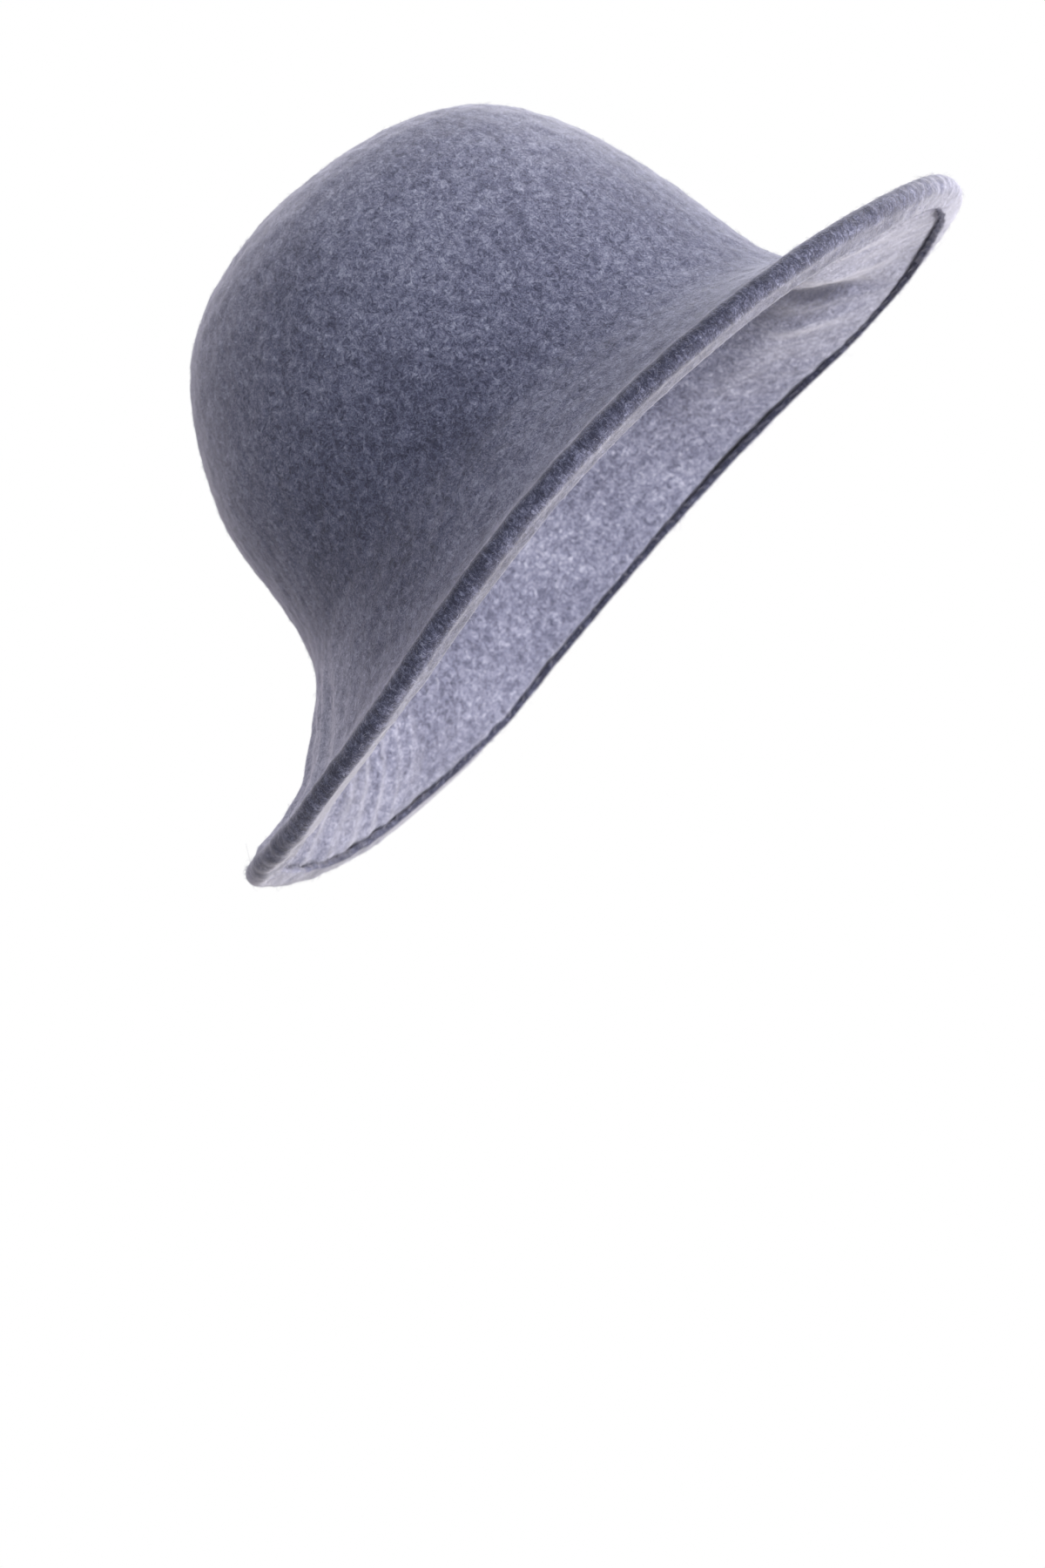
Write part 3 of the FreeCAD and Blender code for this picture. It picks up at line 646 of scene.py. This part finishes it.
# =====================================================================
# Folded size tab and care label
# =====================================================================
TAB_T0 = math.radians(118)
fr = local_frame(TAB_T0, 0.0, 26.0, FELT)
nx, ns = 49, 61
xs = np.linspace(-6, 6, nx)
loop_s = np.linspace(0, 1, ns)
hgt = 15.0
ph = np.clip((loop_s - 0.46) / 0.08, 0, 1) * math.pi
hl = np.where(loop_s < 0.46, loop_s / 0.46 * (hgt - 0.6), np.where(loop_s > 0.54, (1 - loop_s) / 0.46 * (hgt - 0.6), hgt - 0.6 + 0.45 * np.sin(ph)))
dl = np.where(loop_s < 0.46, 1.10, np.where(loop_s > 0.54, 1.86, 1.48 - 0.38 * np.cos(ph)))
gin, gout = [], []
dhl, ddl = np.gradient(hl), np.gradient(dl)
nrm = np.stack([-ddl, dhl], -1)
nrm /= np.maximum(np.hypot(nrm[:, 0], nrm[:, 1]), 1e-9)[:, None]
for i in range(ns):
    wv = 0.035 * np.cos(xs * 2 * math.pi / 0.9)
    gout.append(place(fr, xs, hl[i] - 0.16 * nrm[i, 0] , dl[i] - 0.16 * nrm[i, 1] - 0.3 * wv))
    gin.append(place(fr, xs, hl[i] + 0.16 * nrm[i, 0], dl[i] + 0.16 * nrm[i, 1] + 0.3 * wv))
tab = quads_mesh("size_tab_loop", *sheet(np.array(gin), np.array(gout)))

LABEL_T0 = math.radians(62)
LW, LH, LT = 22.0, 30.0, 0.45
fr = local_frame(LABEL_T0, 0.0, 26.2, FELT + 1.5)
tip = wall(np.array([LABEL_T0]), np.array([26.2 + LH]), FELT + 1.5)[0]
inward = unit(np.cross(unit(tip - fr[0]), fr[1]))
fr = (fr[0], fr[1], unit(np.cross(fr[1], inward)), inward)
nx, nh = 45, 61
xs, hh = np.linspace(-LW / 2, LW / 2, nx), np.linspace(0, LH, nh)
X, H = np.meshgrid(xs, hh)
cut = np.clip(H - (LH - 1.5), 0, 1.5)
X = X * (1 - cut / (LW / 2))
curl = 0.55 * smooth(6, LH, H) * (X / (LW / 2)) ** 2 + 0.8 * smooth(12, LH, H) ** 2
weave = 0.02 * np.sin(X * 2 * math.pi / 0.7) * np.sin(H * 2 * math.pi / 0.7)
care = quads_mesh("care_label_satin", *sheet(place(fr, X, H, curl + 0.38 + weave), place(fr, X, H, curl + 0.05)))

parts = []
for t0, w in ((TAB_T0, 12.0), (LABEL_T0, 22.0)):
    n = 4 if w < 15 else 6
    for jn in range(n):
        x = -w / 2 + 1.5 + (w - 3) * jn / (n - 1)
        f = np.linspace(-0.9, 0.9, 7)
        p = wall(t0 + (x + f) / 90.0, 23.4 + 0 * f, BAND_IN + 0.12 + 0.12 * (1 - (f / 0.9) ** 2))
        parts += thread(p, 0.17, 1.5, 6)
label_thread = join_parts("label_stitch_thread", parts)


# =====================================================================
# Loose wool fibres standing off the felt
# =====================================================================
def fibre_mesh(name, pts, nrm, tan, length, lift, radius, seed, segs=4, curl=0.5):
    """Tapered three-sided fibres that leave the surface at pts; all arrays in mm."""
    r = np.random.default_rng(seed)
    n = len(pts)
    bit = unit(np.cross(nrm, tan))
    ang = r.uniform(0, 2 * math.pi, n)
    d0 = np.cos(ang)[:, None] * tan + np.sin(ang)[:, None] * bit
    bend = r.normal(0, curl, (n, 2))
    f = np.linspace(0, 1, segs + 1)
    path = np.zeros((n, segs + 1, 3))
    side = unit(np.cross(nrm, d0))
    for i, u in enumerate(f):
        along = length * u
        off = length * (bend[:, 0] * u * u + 0.35 * bend[:, 1] * np.sin(u * 5.0 + ang))
        up = -0.15 + lift * np.sin(np.minimum(u * (1.6 + 0.8 * bend[:, 1]), 2.6) * 1.15)
        path[:, i] = pts + d0 * along[:, None] * 0.9 + side * off[:, None] * 0.6 + nrm * up[:, None]
    path[..., 2] = np.maximum(path[..., 2], 0.05)
    tdir = unit(np.gradient(path, axis=1))
    s = unit(np.cross(tdir, np.array([0.3, 0.2, 0.93])))
    u2 = np.cross(s, tdir)
    Vv = np.zeros((n, segs + 1, 3, 3))
    for k3 in range(3):
        a = k3 * 2 * math.pi / 3
        rad = radius[:, None, None] * (1 - 0.55 * f)[None, :, None]
        Vv[:, :, k3] = path + rad * (math.cos(a) * s + math.sin(a) * u2)
    per = (segs + 1) * 3
    q = []
    for i in range(segs):
        for k3 in range(3):
            q.append((i * 3 + k3, (i + 1) * 3 + k3, (i + 1) * 3 + (k3 + 1) % 3, i * 3 + (k3 + 1) % 3))
    q = np.array(q)
    Qq = (q[None] + (np.arange(n) * per)[:, None, None]).reshape(-1, 4)
    t = np.array([(0, 1, 2), (segs * 3 + 2, segs * 3 + 1, segs * 3)])
    Tt = (t[None] + (np.arange(n) * per)[:, None, None]).reshape(-1, 3)
    return quads_mesh(name, Vv.reshape(-1, 3), Qq, Tt)


row_nrm = unit(np.cross(np.gradient(P, axis=0), np.roll(P, -1, 1) - np.roll(P, 1, 1)))
row_tan = unit(np.roll(P, -1, 1) - np.roll(P, 1, 1))
dA = np.linalg.norm(np.cross(np.gradient(P, axis=0), (np.roll(P, -1, 1) - np.roll(P, 1, 1)) / 2), axis=-1)


def scatter(weight, n, seed):
    """n points on the felt with the given weight per row (times area)."""
    r = np.random.default_rng(seed)
    w = (dA * weight).ravel()
    idx = r.choice(len(w), size=n, p=w / w.sum())
    i, jx = idx // NT, idx % NT
    fj = r.uniform(0, 1, n)[:, None]
    fi = r.uniform(0, 1, n)[:, None]
    i2 = np.minimum(i + 1, len(P) - 1)
    p = (P[i, jx] * (1 - fj) + P[i, (jx + 1) % NT] * fj) * (1 - fi) + (P[i2, jx] * (1 - fj) + P[i2, (jx + 1) % NT] * fj) * fi
    return p, row_nrm[i, jx], row_tan[i, jx]


def fibres(name, weight, n, seed, lo, hi, lift_lo, lift_hi, rad=0.05):
    p, nn, tt = scatter(weight, n, seed)
    r = np.random.default_rng(seed + 1)
    L = r.uniform(lo, hi, n) * (0.6 + 0.8 * r.random(n) ** 2)
    lift = lift_lo + (lift_hi - lift_lo) * r.random(n) ** 2.2
    return fibre_mesh(name, p, nn, tt, L, lift, rad * r.uniform(0.7, 1.25, n), seed + 2)


one = np.ones(NT)[None]
lip_fuzz = np.where(np.cos(TT) < 0.1, 9.0, 2.0)[None]
hem_weight = (np.where(kind == 1, np.where(kk < 1.1, 1.6, 0.7), 0) + np.where(kind == 2, 2.6, 0))[:, None] * one + (kind == 3)[:, None] * lip_fuzz
out_weight = np.where(kind == 0, 1.0, 0.0)[:, None] * one
under_weight = ((kind == 6) * (kk > NECK - 1))[:, None] * one
NF = 7200
fuzz_hem = fibres("hem_fibres", hem_weight, int(NF * 0.7), 11, 1.0, 3.4, 0.15, 1.0, 0.042)
fuzz_hem_b = fibres("hem_fibres_b", hem_weight, int(NF * 0.7), 61, 1.0, 3.4, 0.15, 1.0, 0.042)
fuzz_crown = fibres("crown_fibres", out_weight, NF, 21, 1.4, 4.2, 0.15, 0.95, 0.045)
fuzz_under = fibres("underbrim_fibres", under_weight, NF // 2, 31, 1.4, 4.0, 0.12, 0.7, 0.045)
# a few long strays
stray_w = hem_weight * 1.0 + 0.05 * out_weight
fuzz_stray = fibres("stray_fibres", stray_w, 90, 41, 4.0, 8.0, 1.2, 2.8, 0.05)


# =====================================================================
# Materials
# =====================================================================
def new_mat(name):
    m = bpy.data.materials.new(name)
    m.use_nodes = True
    nt = m.node_tree
    nt.nodes.clear()
    out = nt.nodes.new("ShaderNodeOutputMaterial")
    bs = nt.nodes.new("ShaderNodeBsdfPrincipled")
    nt.links.new(bs.outputs[0], out.inputs[0])
    return m, nt, bs


def N(nt, kind_, **kw):
    n = nt.nodes.new(kind_)
    for k, v_ in kw.items():
        if k.startswith("_"):
            setattr(n, k[1:], v_)
        else:
            n.inputs[k.replace("__", " ")].default_value = v_
    return n


def math_node(nt, op, a, b=None, c=None, clamp=False):
    n = nt.nodes.new("ShaderNodeMath")
    n.operation = op
    n.use_clamp = clamp
    for i, v_ in enumerate((a, b, c)):
        if v_ is None:
            continue
        if hasattr(v_, "is_linked") or hasattr(v_, "links"):
            nt.links.new(v_, n.inputs[i])
        else:
            n.inputs[i].default_value = v_
    return n.outputs[0]


def noise(nt, vec, scale, detail=3.0, rough=0.55, dist=0.0, kind_="FBM"):
    n = nt.nodes.new("ShaderNodeTexNoise")
    n.noise_dimensions = "3D"
    n.noise_type = kind_
    n.inputs["Scale"].default_value = scale
    n.inputs["Detail"].default_value = detail
    n.inputs["Roughness"].default_value = rough
    n.inputs["Distortion"].default_value = dist
    nt.links.new(vec, n.inputs["Vector"])
    return n


def ramp(nt, fac, stops):
    n = nt.nodes.new("ShaderNodeValToRGB")
    nt.links.new(fac, n.inputs[0])
    e = n.color_ramp.elements
    while len(e) > 1:
        e.remove(e[-1])
    for i, (p, c) in enumerate(stops):
        el = e[0] if i == 0 else e.new(p)
        el.position = p
        el.color = tuple(c) + (1.0,) if len(c) == 3 else tuple(c)
    return n


def mixc(nt, fac, a, b, mode="MIX"):
    n = nt.nodes.new("ShaderNodeMix")
    n.data_type = "RGBA"
    n.blend_type = mode
    for s_, v_ in ((n.inputs["Factor"], fac), (n.inputs[6], a), (n.inputs[7], b)):
        if hasattr(v_, "links"):
            nt.links.new(v_, s_)
        else:
            s_.default_value = v_ if not isinstance(v_, tuple) else (v_ + (1.0,) if len(v_) == 3 else v_)
    return n.outputs[2]


def srgb(r, g, b):
    f = lambda c: c / 12.92 if c <= 0.04045 else ((c + 0.055) / 1.055) ** 2.4
    return (f(r / 255), f(g / 255), f(b / 255))


def felt_material(name, gain=1.0):
    m, nt, bs = new_mat(name)
    tc = N(nt, "ShaderNodeTexCoord")
    pos = tc.outputs["Object"]

    def warped(vec, scale, amount):
        w = noise(nt, pos, scale, 2.0, 0.5)
        n = nt.nodes.new("ShaderNodeVectorMath")
        n.operation = "MULTIPLY_ADD"
        nt.links.new(w.outputs["Color"], n.inputs[0])
        n.inputs[1].default_value = (amount,) * 3
        nt.links.new(vec, n.inputs[2])
        return n.outputs[0]

    wpos = warped(pos, 260.0, 0.0035)
    cloud = noise(nt, pos, 24.0, 3.0, 0.5)
    blotch = noise(nt, wpos, 330.0, 2.0, 0.55, 0.5)
    speck = noise(nt, wpos, 980.0, 2.0, 0.6, 1.0)
    fine = noise(nt, wpos, 1900.0, 2.0, 0.6, 1.6)
    strand = noise(nt, wpos, 620.0, 2.0, 0.5, 1.8, "RIDGED_MULTIFRACTAL")
    at_c, at_w = N(nt, "ShaderNodeAttribute"), N(nt, "ShaderNodeAttribute")
    at_c.attribute_name, at_w.attribute_name = "hemcoord", "hemw"
    hv = warped(at_c.outputs["Vector"], 420.0, 0.0012)
    streak = noise(nt, hv, 1150.0, 2.0, 0.6, 0.5)
    streak2 = noise(nt, hv, 2300.0, 2.0, 0.6, 0.5)

    def centred(out_, k_):
        return math_node(nt, "MULTIPLY", math_node(nt, "SUBTRACT", out_, 0.5), k_)

    t = centred(blotch.outputs[0], 0.62)
    t = math_node(nt, "ADD", t, centred(speck.outputs[0], 0.85))
    t = math_node(nt, "ADD", t, centred(fine.outputs[0], 0.75))
    t = math_node(nt, "ADD", t, centred(cloud.outputs[0], 0.30))
    hs_ = math_node(nt, "ADD", centred(streak.outputs[0], 0.42), centred(streak2.outputs[0], 0.5))
    t = math_node(nt, "ADD", t, math_node(nt, "MULTIPLY", hs_, at_w.outputs["Fac"]))
    # painted shade and painted highlight from the vertex attribute are taken off the felt tone
    at_shading = N(nt, "ShaderNodeAttribute")
    at_shading.attribute_name = "press"
    t = math_node(nt, "ADD", math_node(nt, "SUBTRACT", t, at_shading.outputs["Fac"]), 0.5)
    g = lambda *c: tuple(x * gain for x in srgb(*c))
    base = ramp(nt, t, [(0.14, g(57, 58, 76)), (0.34, g(85, 87, 109)), (0.50, g(118, 120, 144)),
                        (0.66, g(155, 157, 179)), (0.88, g(205, 206, 222))])
    fib = ramp(nt, strand.outputs[0], [(0.0, (0, 0, 0)), (0.62, (0, 0, 0)), (0.95, (1, 1, 1))])
    col = mixc(nt, math_node(nt, "MULTIPLY", fib.outputs[0], 0.34), base.outputs[0], g(214, 212, 230))
    # painted rim highlight: the colour turns pale where the surface turns away from the eye, standing in for back light
    # caught in the nap
    lw = N(nt, "ShaderNodeLayerWeight", Blend=0.5)
    painted_grazing_sheen = math_node(nt, "MULTIPLY", math_node(nt, "POWER", lw.outputs["Facing"], 3.8), 0.52)
    col = mixc(nt, painted_grazing_sheen, col, g(236, 236, 246))
    nt.links.new(col, bs.inputs["Base Color"])
    bs.inputs["Roughness"].default_value = 0.95
    bs.inputs["Specular IOR Level"].default_value = 0.12
    bs.inputs["Sheen Weight"].default_value = 0.55
    bs.inputs["Sheen Roughness"].default_value = 0.5
    bs.inputs["Sheen Tint"].default_value = (0.93, 0.92, 1.0, 1)
    # raised fibres
    h = math_node(nt, "ADD", math_node(nt, "MULTIPLY", speck.outputs[0], 0.6), math_node(nt, "MULTIPLY", strand.outputs[0], 0.35))
    h = math_node(nt, "ADD", h, math_node(nt, "MULTIPLY", fine.outputs[0], 0.35))
    h = math_node(nt, "ADD", h, math_node(nt, "MULTIPLY", math_node(nt, "MULTIPLY", streak.outputs[0], 0.2), at_w.outputs["Fac"]))
    bp = N(nt, "ShaderNodeBump", Strength=0.85, Distance=0.0006)
    nt.links.new(h, bp.inputs["Height"])
    nt.links.new(bp.outputs[0], bs.inputs["Normal"])
    return m


def fibre_material(name, col):
    m, nt, bs = new_mat(name)
    tc = N(nt, "ShaderNodeTexCoord")
    nz = noise(nt, tc.outputs["Object"], 300.0, 1.0)
    r_ = ramp(nt, nz.outputs[0], [(0.35, tuple(0.62 * c for c in col)), (0.65, tuple(min(1.0, 1.15 * c) for c in col))])
    nt.links.new(r_.outputs[0], bs.inputs["Base Color"])
    bs.inputs["Roughness"].default_value = 0.6
    bs.inputs["Specular IOR Level"].default_value = 0.3
    return m


def ribbon_material(name, dark, light, axis_scale=900.0):
    m, nt, bs = new_mat(name)
    tc = N(nt, "ShaderNodeTexCoord")
    pos = tc.outputs["Object"]
    fine = noise(nt, pos, 1400.0, 2.0, 0.5, 0.4)
    sep = N(nt, "ShaderNodeSeparateXYZ")
    nt.links.new(pos, sep.inputs[0])
    wz = math_node(nt, "SINE", math_node(nt, "MULTIPLY", sep.outputs[2], axis_scale * 2 * math.pi))
    wz = math_node(nt, "MULTIPLY_ADD", wz, 0.5, 0.5)
    mixv = math_node(nt, "ADD", math_node(nt, "MULTIPLY", wz, 0.45), math_node(nt, "MULTIPLY", fine.outputs[0], 0.55))
    base = ramp(nt, mixv, [(0.25, dark), (0.75, light)])
    nt.links.new(base.outputs[0], bs.inputs["Base Color"])
    bs.inputs["Roughness"].default_value = 0.62
    bs.inputs["Specular IOR Level"].default_value = 0.35
    bs.inputs["Sheen Weight"].default_value = 0.3
    bp = N(nt, "ShaderNodeBump", Strength=0.6, Distance=0.00012)
    nt.links.new(mixv, bp.inputs["Height"])
    nt.links.new(bp.outputs[0], bs.inputs["Normal"])
    return m


def thread_material(name, dark, light):
    m, nt, bs = new_mat(name)
    tc = N(nt, "ShaderNodeTexCoord")
    nz = noise(nt, tc.outputs["Object"], 2600.0, 2.0, 0.6, 0.8)
    base = ramp(nt, nz.outputs[0], [(0.35, dark), (0.65, light)])
    nt.links.new(base.outputs[0], bs.inputs["Base Color"])
    bs.inputs["Roughness"].default_value = 0.55
    bs.inputs["Sheen Weight"].default_value = 0.2
    bp = N(nt, "ShaderNodeBump", Strength=0.5, Distance=0.00005)
    nt.links.new(nz.outputs[0], bp.inputs["Height"])
    nt.links.new(bp.outputs[0], bs.inputs["Normal"])
    return m


def metal_material(name):
    m, nt, bs = new_mat(name)
    tc = N(nt, "ShaderNodeTexCoord")
    nz = noise(nt, tc.outputs["Object"], 900.0, 3.0, 0.6)
    base = ramp(nt, nz.outputs[0], [(0.3, (0.50, 0.50, 0.52)), (0.7, (0.68, 0.68, 0.70))])
    nt.links.new(base.outputs[0], bs.inputs["Base Color"])
    bs.inputs["Metallic"].default_value = 1.0
    rr = ramp(nt, nz.outputs[0], [(0.3, (0.28,) * 3), (0.7, (0.45,) * 3)])
    nt.links.new(rr.outputs[0], bs.inputs["Roughness"])
    return m


M_felt = felt_material("heather_grey_felt")
M_fib = fibre_material("loose_wool", srgb(186, 186, 206))
M_band = ribbon_material("petersham_dark_grey", srgb(52, 52, 62), srgb(92, 92, 106), 1500.0)
M_bow = ribbon_material("bow_ribbon_dark_grey", srgb(52, 52, 62), srgb(96, 96, 110), 1000.0)
M_label = ribbon_material("woven_satin_white", srgb(216, 216, 220), srgb(246, 246, 248), 2200.0)
M_thread = thread_material("grey_thread", srgb(96, 96, 112), srgb(150, 150, 166))
M_thread2 = thread_material("pale_thread", srgb(170, 170, 178), srgb(214, 214, 220))
M_wire = thread_material("cotton_wrapped_wire", srgb(196, 194, 188), srgb(236, 234, 228))
M_metal = metal_material("crimped_tube_metal")
for o, m in ((felt, M_felt), (fuzz_hem, M_fib), (fuzz_hem_b, M_fib), (fuzz_crown, M_fib), (fuzz_under, M_fib), (fuzz_stray, M_fib), (wire, M_wire),
             (joiner, M_metal), (hem_thread, M_thread), (band, M_band), (band_thread, M_thread), (bow, M_bow), (knot, M_bow),
             (tab, M_label), (care, M_label), (label_thread, M_thread2)):
    o.data.materials.clear()
    o.data.materials.append(m)

# =====================================================================
# What each piece stands for and which body it follows
# =====================================================================
for piece, nodes, slot in ((felt, ("felt_hood", "felt_brim_front"), "felt"), (wire, ("edge_wire", "edge_wire_front"), "millinery_wire"),
                           (hem_thread, ("hem_stitches", "hem_stitches_front"), "thread"), (joiner, ("wire_joiner",), "joiner_metal"),
                           (band, ("sweatband",), "petersham"), (band_thread, ("sweatband_stitches",), "thread"),
                           (bow, ("bow_loops",), "bow_ribbon"), (knot, ("bow_knot",), "bow_ribbon"), (tab, ("size_tab",), "label_satin"),
                           (care, ("care_label",), "label_satin"), (label_thread, ("label_stitches",), "thread")):
    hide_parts(*nodes)
for o in (felt, wire, hem_thread, fuzz_hem, fuzz_hem_b, fuzz_crown, fuzz_under, fuzz_stray):
    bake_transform(o)
for o in (joiner, band, band_thread, bow, knot, tab, label_thread):
    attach(o, "hat")
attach(care, "label")

# =====================================================================
# Camera: square on to the wearer's right side, a little below the brim,
# rolled so the hat tips back the way it is worn
# =====================================================================
ROLL, ELEV, DIST, MMPX = math.radians(45.94), math.radians(-8.55), 1300.0, 0.2949
TX, TY = 701.8, 626.5
fwd_axis, far_axis, up_axis = Vector((0, -1, 0)), Vector((1, 0, 0)), Vector((0, 0, 1))
eye = (-far_axis * math.cos(ELEV) + up_axis * math.sin(ELEV)) * DIST
look = (-eye).normalized()
right = look.cross(up_axis).normalized()
upv = right.cross(look)
c, s = math.cos(ROLL), math.sin(ROLL)
cr, cu = c * right - s * upv, s * right + c * upv
fpx = DIST / MMPX
ox, oy = (TX - 600.0) / fpx, (900.0 - TY) / fpx
look2 = (look - ox * cr - oy * cu).normalized()
cr2 = (cr - cr.dot(look2) * look2).normalized()
cu2 = cr2.cross(look2)
cam_data = bpy.data.cameras.new("camera")
cam = bpy.data.objects.new("camera", cam_data)
bpy.context.collection.objects.link(cam)
eye_m = (eye + Vector((0, 0, 4.0))) * MM
cam.matrix_world = Matrix(((cr2.x, cu2.x, -look2.x, eye_m.x), (cr2.y, cu2.y, -look2.y, eye_m.y), (cr2.z, cu2.z, -look2.z, eye_m.z), (0, 0, 0, 1)))
cam_data.sensor_fit = "AUTO"
cam_data.sensor_width = 36.0
cam_data.lens = 36.0 * fpx / 1800.0
cam_data.clip_start, cam_data.clip_end = 0.05, 50.0
centre = bpy.data.objects.new("focus_centre", None)
centre.location = (0, 0, 0.04)
bpy.context.collection.objects.link(centre)
cam_data.dof.use_dof = True
cam_data.dof.aperture_fstop = 14.0
drv = cam_data.dof.driver_add("focus_distance").driver
drv.type = "SCRIPTED"
var = drv.variables.new()
var.name = "d"
var.type = "LOC_DIFF"
var.targets[0].id = cam
var.targets[1].id = centre
drv.expression = "d - 0.11"
bpy.context.scene.camera = cam

# =====================================================================
# Studio: pale floor, white surround, soft lights
# =====================================================================
floor = mesh_from("studio_floor", [(math.cos(i * math.pi / 48) * 6, math.sin(i * math.pi / 48) * 6, -0.0006) for i in range(96)], [tuple(range(96))], False)
fm, nt, bs = new_mat("pale_floor")
tc = N(nt, "ShaderNodeTexCoord")
nz = noise(nt, tc.outputs["Object"], 3.0, 3.0)
fc = ramp(nt, nz.outputs[0], [(0.3, (0.86, 0.86, 0.87)), (0.7, (0.90, 0.90, 0.905))])
nt.links.new(fc.outputs[0], bs.inputs["Base Color"])
bs.inputs["Roughness"].default_value = 0.9
bs.inputs["Specular IOR Level"].default_value = 0.0
geo, lp = N(nt, "ShaderNodeNewGeometry"), N(nt, "ShaderNodeLightPath")
tr, mx = N(nt, "ShaderNodeBsdfTransparent"), N(nt, "ShaderNodeMixShader")
show = math_node(nt, "MULTIPLY", lp.outputs["Is Camera Ray"], math_node(nt, "SUBTRACT", 1.0, geo.outputs["Backfacing"]))
out = [n for n in nt.nodes if n.type == "OUTPUT_MATERIAL"][0]
nt.links.new(show, mx.inputs[0])
nt.links.new(tr.outputs[0], mx.inputs[1])
nt.links.new(bs.outputs[0], mx.inputs[2])
nt.links.new(mx.outputs[0], out.inputs[0])
floor.data.materials.append(fm)

SKY_UP = Vector(cu)                     # overhead in the picture, in hat axes
world = bpy.data.worlds.new("studio")
bpy.context.scene.world = world
world.use_nodes = True
wt = world.node_tree
wt.nodes.clear()
wo = wt.nodes.new("ShaderNodeOutputWorld")
bg_cam, bg_env = wt.nodes.new("ShaderNodeBackground"), wt.nodes.new("ShaderNodeBackground")
mxw, lpw = wt.nodes.new("ShaderNodeMixShader"), wt.nodes.new("ShaderNodeLightPath")
bg_cam.inputs[0].default_value = (1, 1, 1, 1)
bg_cam.inputs[1].default_value = 1.0
tcw = wt.nodes.new("ShaderNodeTexCoord")


def dotv(vec3):
    n = wt.nodes.new("ShaderNodeVectorMath")
    n.operation = "DOT_PRODUCT"
    wt.links.new(tcw.outputs["Generated"], n.inputs[0])
    n.inputs[1].default_value = vec3
    return n.outputs["Value"]


# soft patches of light round the hat: picture right, picture up, towards the camera, then colour
SKY = (
    (-1, 0, -1, 0.88, 0.68, 0.78),
    (-1, 1, -1, 1.43, 1.43, 1.43),
    (0, 0, -1, 1.43, 1.43, 1.43),
    (0, 0, 1, 0.07, 0.15, 0.20),
    (0, 1, -1, 1.43, 1.43, 1.43),
    (0, 1, 1, 0.00, 0.00, 0.03),
    (1, -1, 0, 0.20, 0.06, 0.00),
    (1, -1, 1, 1.32, 1.32, 1.32),
    (1, 0, 0, 0.41, 0.35, 0.21),
    (1, 0, 1, 1.32, 1.32, 1.32),
    (1, 1, -1, 1.21, 1.22, 1.35),
    (1, 1, 1, 0.89, 0.85, 0.99),
)


def vec_math(op, a, b):
    n = wt.nodes.new("ShaderNodeVectorMath")
    n.operation = op
    wt.links.new(a, n.inputs[0])
    wt.links.new(b, n.inputs[1])
    return n.outputs[0]


def patches(table):
    total = None
    for ax, ay, az_, r_, g_, b_ in table:
        dvec = (ax * Vector(cr2) + ay * Vector(cu2) - az_ * Vector(look2)).normalized()
        lobe = math_node(wt, "POWER", math_node(wt, "MAXIMUM", dotv(tuple(dvec)), 0.0), 4.0)
        sc_ = wt.nodes.new("ShaderNodeVectorMath")
        sc_.operation = "SCALE"
        sc_.inputs[0].default_value = (r_, g_, b_)
        wt.links.new(lobe, sc_.inputs["Scale"])
        total = sc_.outputs[0] if total is None else vec_math("ADD", total, sc_.outputs[0])
    return total


total = patches(SKY)
bg_env.inputs[1].default_value = 1.0
wt.links.new(total, bg_env.inputs[0])
wt.links.new(lpw.outputs["Is Camera Ray"], mxw.inputs[0])
wt.links.new(bg_env.outputs[0], mxw.inputs[1])
wt.links.new(bg_cam.outputs[0], mxw.inputs[2])
wt.links.new(mxw.outputs[0], wo.inputs[0])


def area(name, pos, target, size, power, col=(1, 1, 1)):
    ld = bpy.data.lights.new(name, "AREA")
    ld.shape = "DISK"
    ld.size = size
    ld.energy = power
    ld.color = col
    o = bpy.data.objects.new(name, ld)
    bpy.context.collection.objects.link(o)
    o.location = pos
    o.rotation_euler = (Vector(target) - Vector(pos)).to_track_quat("-Z", "Y").to_euler()
    return o


mid = Vector((0, 0, 0.07))
area("under_brim_bounce", (-0.02, -0.46, -0.56), (0.02, -0.13, 0.01), 0.24, 3.9, (1.0, 0.975, 0.95))

scene = bpy.context.scene
scene.view_settings.view_transform = "Standard"
scene.view_settings.look = "None"
scene.view_settings.exposure = 0.0
scene.view_settings.gamma = 1.0
